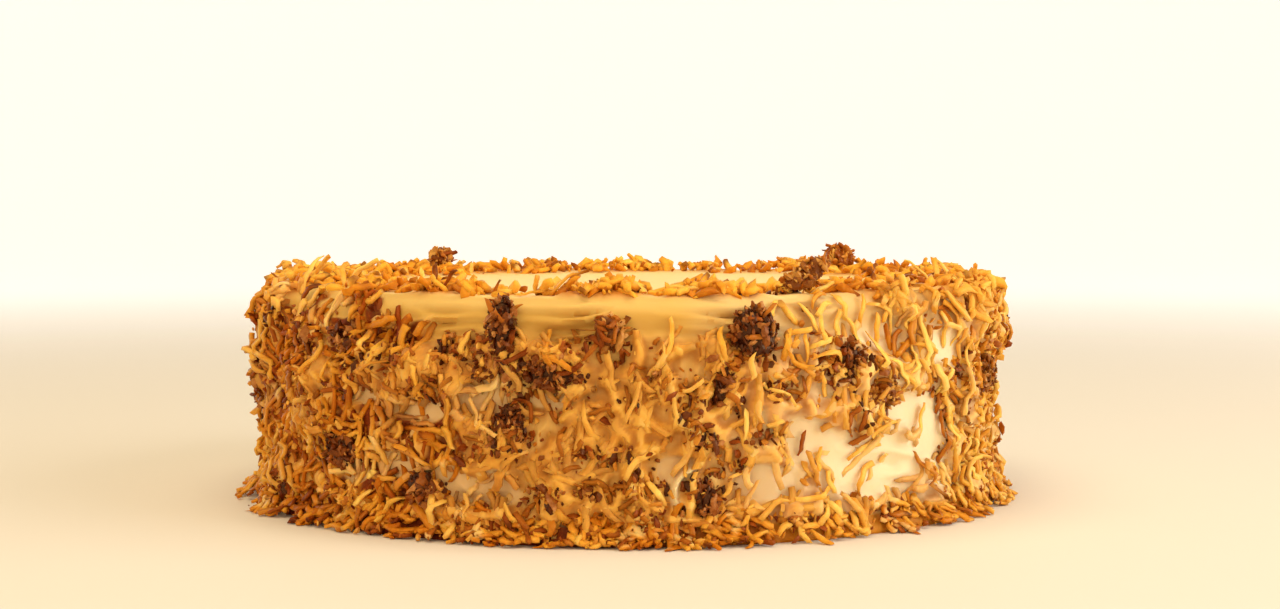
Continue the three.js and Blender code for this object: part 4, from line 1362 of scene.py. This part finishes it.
nearCrumbs = sprinkle("near_crumbs", frosting.data, "nutBrown", {
    "Seed": 79, "Cover": "near", "Density": 26.0, "Smallest": 1.1, "Largest": 3.0, "Proud": 0.0, "Lift": 0.3,
})
coatCrumbs = sprinkle("coat_crumbs", frosting.data, "sugarCrumb", {
    "Seed": 83, "Cover": "dark", "Density": 18.0, "Smallest": 0.6, "Largest": 2.6, "Proud": 0.1, "Lift": 0.9,
    "Least": 0.3,
})
crownCrumbs = sprinkle("crown_crumbs", frosting.data, "goldenCrumb", {
    "Seed": 89, "Cover": "crown", "Density": 8.0, "Smallest": 0.8, "Largest": 2.6, "Proud": 0.2, "Lift": 1.0,
})
hollowCrumbs = sprinkle("hollow_crumbs", frosting.data, "sugarCrumb", {
    "Seed": 101, "Cover": "coat", "Density": 56.0, "Smallest": 0.7, "Largest": 2.4, "Proud": 0.0, "Lift": 0.4,
    "Hollows": 1.2, "Unsmeared": 0.5, "Least": 0.4,
})
footCrumbs = sprinkle("foot_crumbs", footSlope, "sugarCrumb", {
    "Seed": 97, "Cover": "heel", "Density": 42.0, "Smallest": 0.7, "Largest": 2.2, "Proud": 0.2, "Lift": 0.9,
})
# The frosting kept the bed's layers until everything was strewn on it.
for layer in layers:
    if layer in frosting.data.attributes:
        frosting.data.attributes.remove(frosting.data.attributes[layer])
print("clusters and crumbs done")

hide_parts("frosted_cake")
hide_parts(*clusterNames)
slots = {
    "frosting": [frosting],
    "coconut_golden": [pressed, sunkShreds, setShreds, looseShreds, curls, webs, chips, goldenSingles,
                       crownShreds, crownCrumbs, footShreds],
    "coconut_toasted": [toasted, darkSingles, footToasted, coatCrumbs, hollowCrumbs, footCrumbs],
    "nut_cluster": [clusterCores, clusterCrumbs, clusterGrains, clusterShreds, nearCrumbs],
}
for slotName, pieces in slots.items():
    for piece in pieces:
        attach(piece, "root")

# The floor is flat out to "start" and bends up over "bend", both in metres.
sweep = {"start": 1.6, "bend": 1.2, "flatRings": 6, "bentRings": 12, "around": 96}
floorLook = {
    "one": (0.80, 0.76, 0.70), "other": (0.82, 0.785, 0.73), "roughness": 0.7,
    "glow": (1.0, 0.98, 0.94), "glowFrom": 0.25, "glowTo": 1.4, "glowStrength": 0.6,
}


# A pale floor that bends up into a backdrop all round, so that it has no edge in any view.
def floorMesh():
    start, bend, around = sweep["start"], sweep["bend"], sweep["around"]
    rings = [(start * row / sweep["flatRings"], 0.0) for row in range(1, sweep["flatRings"] + 1)]
    for row in range(1, sweep["bentRings"] + 1):
        turn = row / sweep["bentRings"] * math.pi / 2
        rings.append((start + bend * math.sin(turn), bend * (1 - math.cos(turn))))
    angles = [2 * math.pi * index / around for index in range(around)]
    made = bmesh.new()
    loops = []
    for radius, height in rings:
        corners = [(radius * math.cos(angle), radius * math.sin(angle), height) for angle in angles]
        loops.append([made.verts.new(corner) for corner in corners])
    made.faces.new(loops[0])
    for low, high in zip(loops, loops[1:]):
        for index in range(around):
            after = (index + 1) % around
            made.faces.new((low[index], high[index], high[after], low[after]))
    bmesh.ops.recalc_face_normals(made, faces=made.faces)
    mesh = bpy.data.meshes.new("floor")
    made.to_mesh(mesh)
    made.free()
    mesh.shade_smooth()
    return mesh


def makeFloor(look):
    mesh = floorMesh()
    floor = bpy.data.objects.new("floor", mesh)
    bpy.context.scene.collection.objects.link(floor)
    material, shader, board, place = newFinish("paleFloor")
    tone = board.blend(board.noise(place, 3.0, 1.0), look["one"], look["other"])
    board.feed(socketOf(shader.inputs, "Base Color"), tone)
    socketOf(shader.inputs, "Roughness").default_value = look["roughness"]
    away = (place * board.vector(1.0, 1.0, 0.0)).dot(place) ** 0.5
    glow = board.blend(away.ramp(look["glowFrom"], look["glowTo"]), (0.0, 0.0, 0.0), look["glow"])
    board.feed(socketOf(shader.inputs, "Emission Color"), glow)
    socketOf(shader.inputs, "Emission Strength").default_value = look["glowStrength"]
    mesh.materials.append(material)


# Soft lamps round the cake, with places and sizes in metres.
softLights = [
    {"name": "windowLight", "at": (1.0, -0.3, 0.5), "size": 0.9, "watts": 8.3, "colour": (1.0, 0.96, 0.90)},
    {"name": "warmFill", "at": (-0.25, -1.05, 0.7), "size": 1.0, "watts": 4.9, "colour": (1.0, 0.68, 0.34)},
    {"name": "topLight", "at": (-0.1, -0.1, 1.1), "size": 1.0, "watts": 8.6, "colour": (1.0, 0.82, 0.5)},
]
studioSky = {"colour": (1.0, 0.80, 0.55, 1.0), "strength": 0.28}


def makeLights():
    middle = Vector((0, 0, 0.03))
    for each in softLights:
        data = bpy.data.lights.new(each["name"], "AREA")
        data.energy = each["watts"]
        data.size = each["size"]
        data.color = each["colour"]
        lamp = bpy.data.objects.new(each["name"], data)
        lamp.location = each["at"]
        lamp.rotation_euler = (middle - Vector(each["at"])).to_track_quat("-Z", "Y").to_euler()
        bpy.context.scene.collection.objects.link(lamp)
    world = bpy.data.worlds.new("studio")
    world.use_nodes = True
    sky = world.node_tree.nodes["Background"]
    sky.inputs["Color"].default_value = studioSky["colour"]
    sky.inputs["Strength"].default_value = studioSky["strength"]
    bpy.context.scene.world = world


# Where the camera stands, in millimetres from the cake's middle, the degrees it looks down, and its lens.
shot = {"away": 578.2, "height": 82.1, "aside": 2.8, "down": 3.01, "lens": 57.5}


def makeCamera():
    data = bpy.data.cameras.new("camera")
    data.sensor_fit = "HORIZONTAL"
    data.sensor_width = 36.0
    data.lens = shot["lens"]
    data.clip_start = 0.01
    data.clip_end = 20.0
    camera = bpy.data.objects.new("camera", data)
    camera.location = Vector((shot["aside"], -shot["away"], shot["height"])) * mm
    camera.rotation_euler = (math.radians(90 - shot["down"]), 0, 0)
    bpy.context.scene.collection.objects.link(camera)
    bpy.context.scene.camera = camera


makeFloor(floorLook)
makeLights()
makeCamera()
bpy.context.scene.view_settings.view_transform = "Standard"
print("floor, light and camera set")
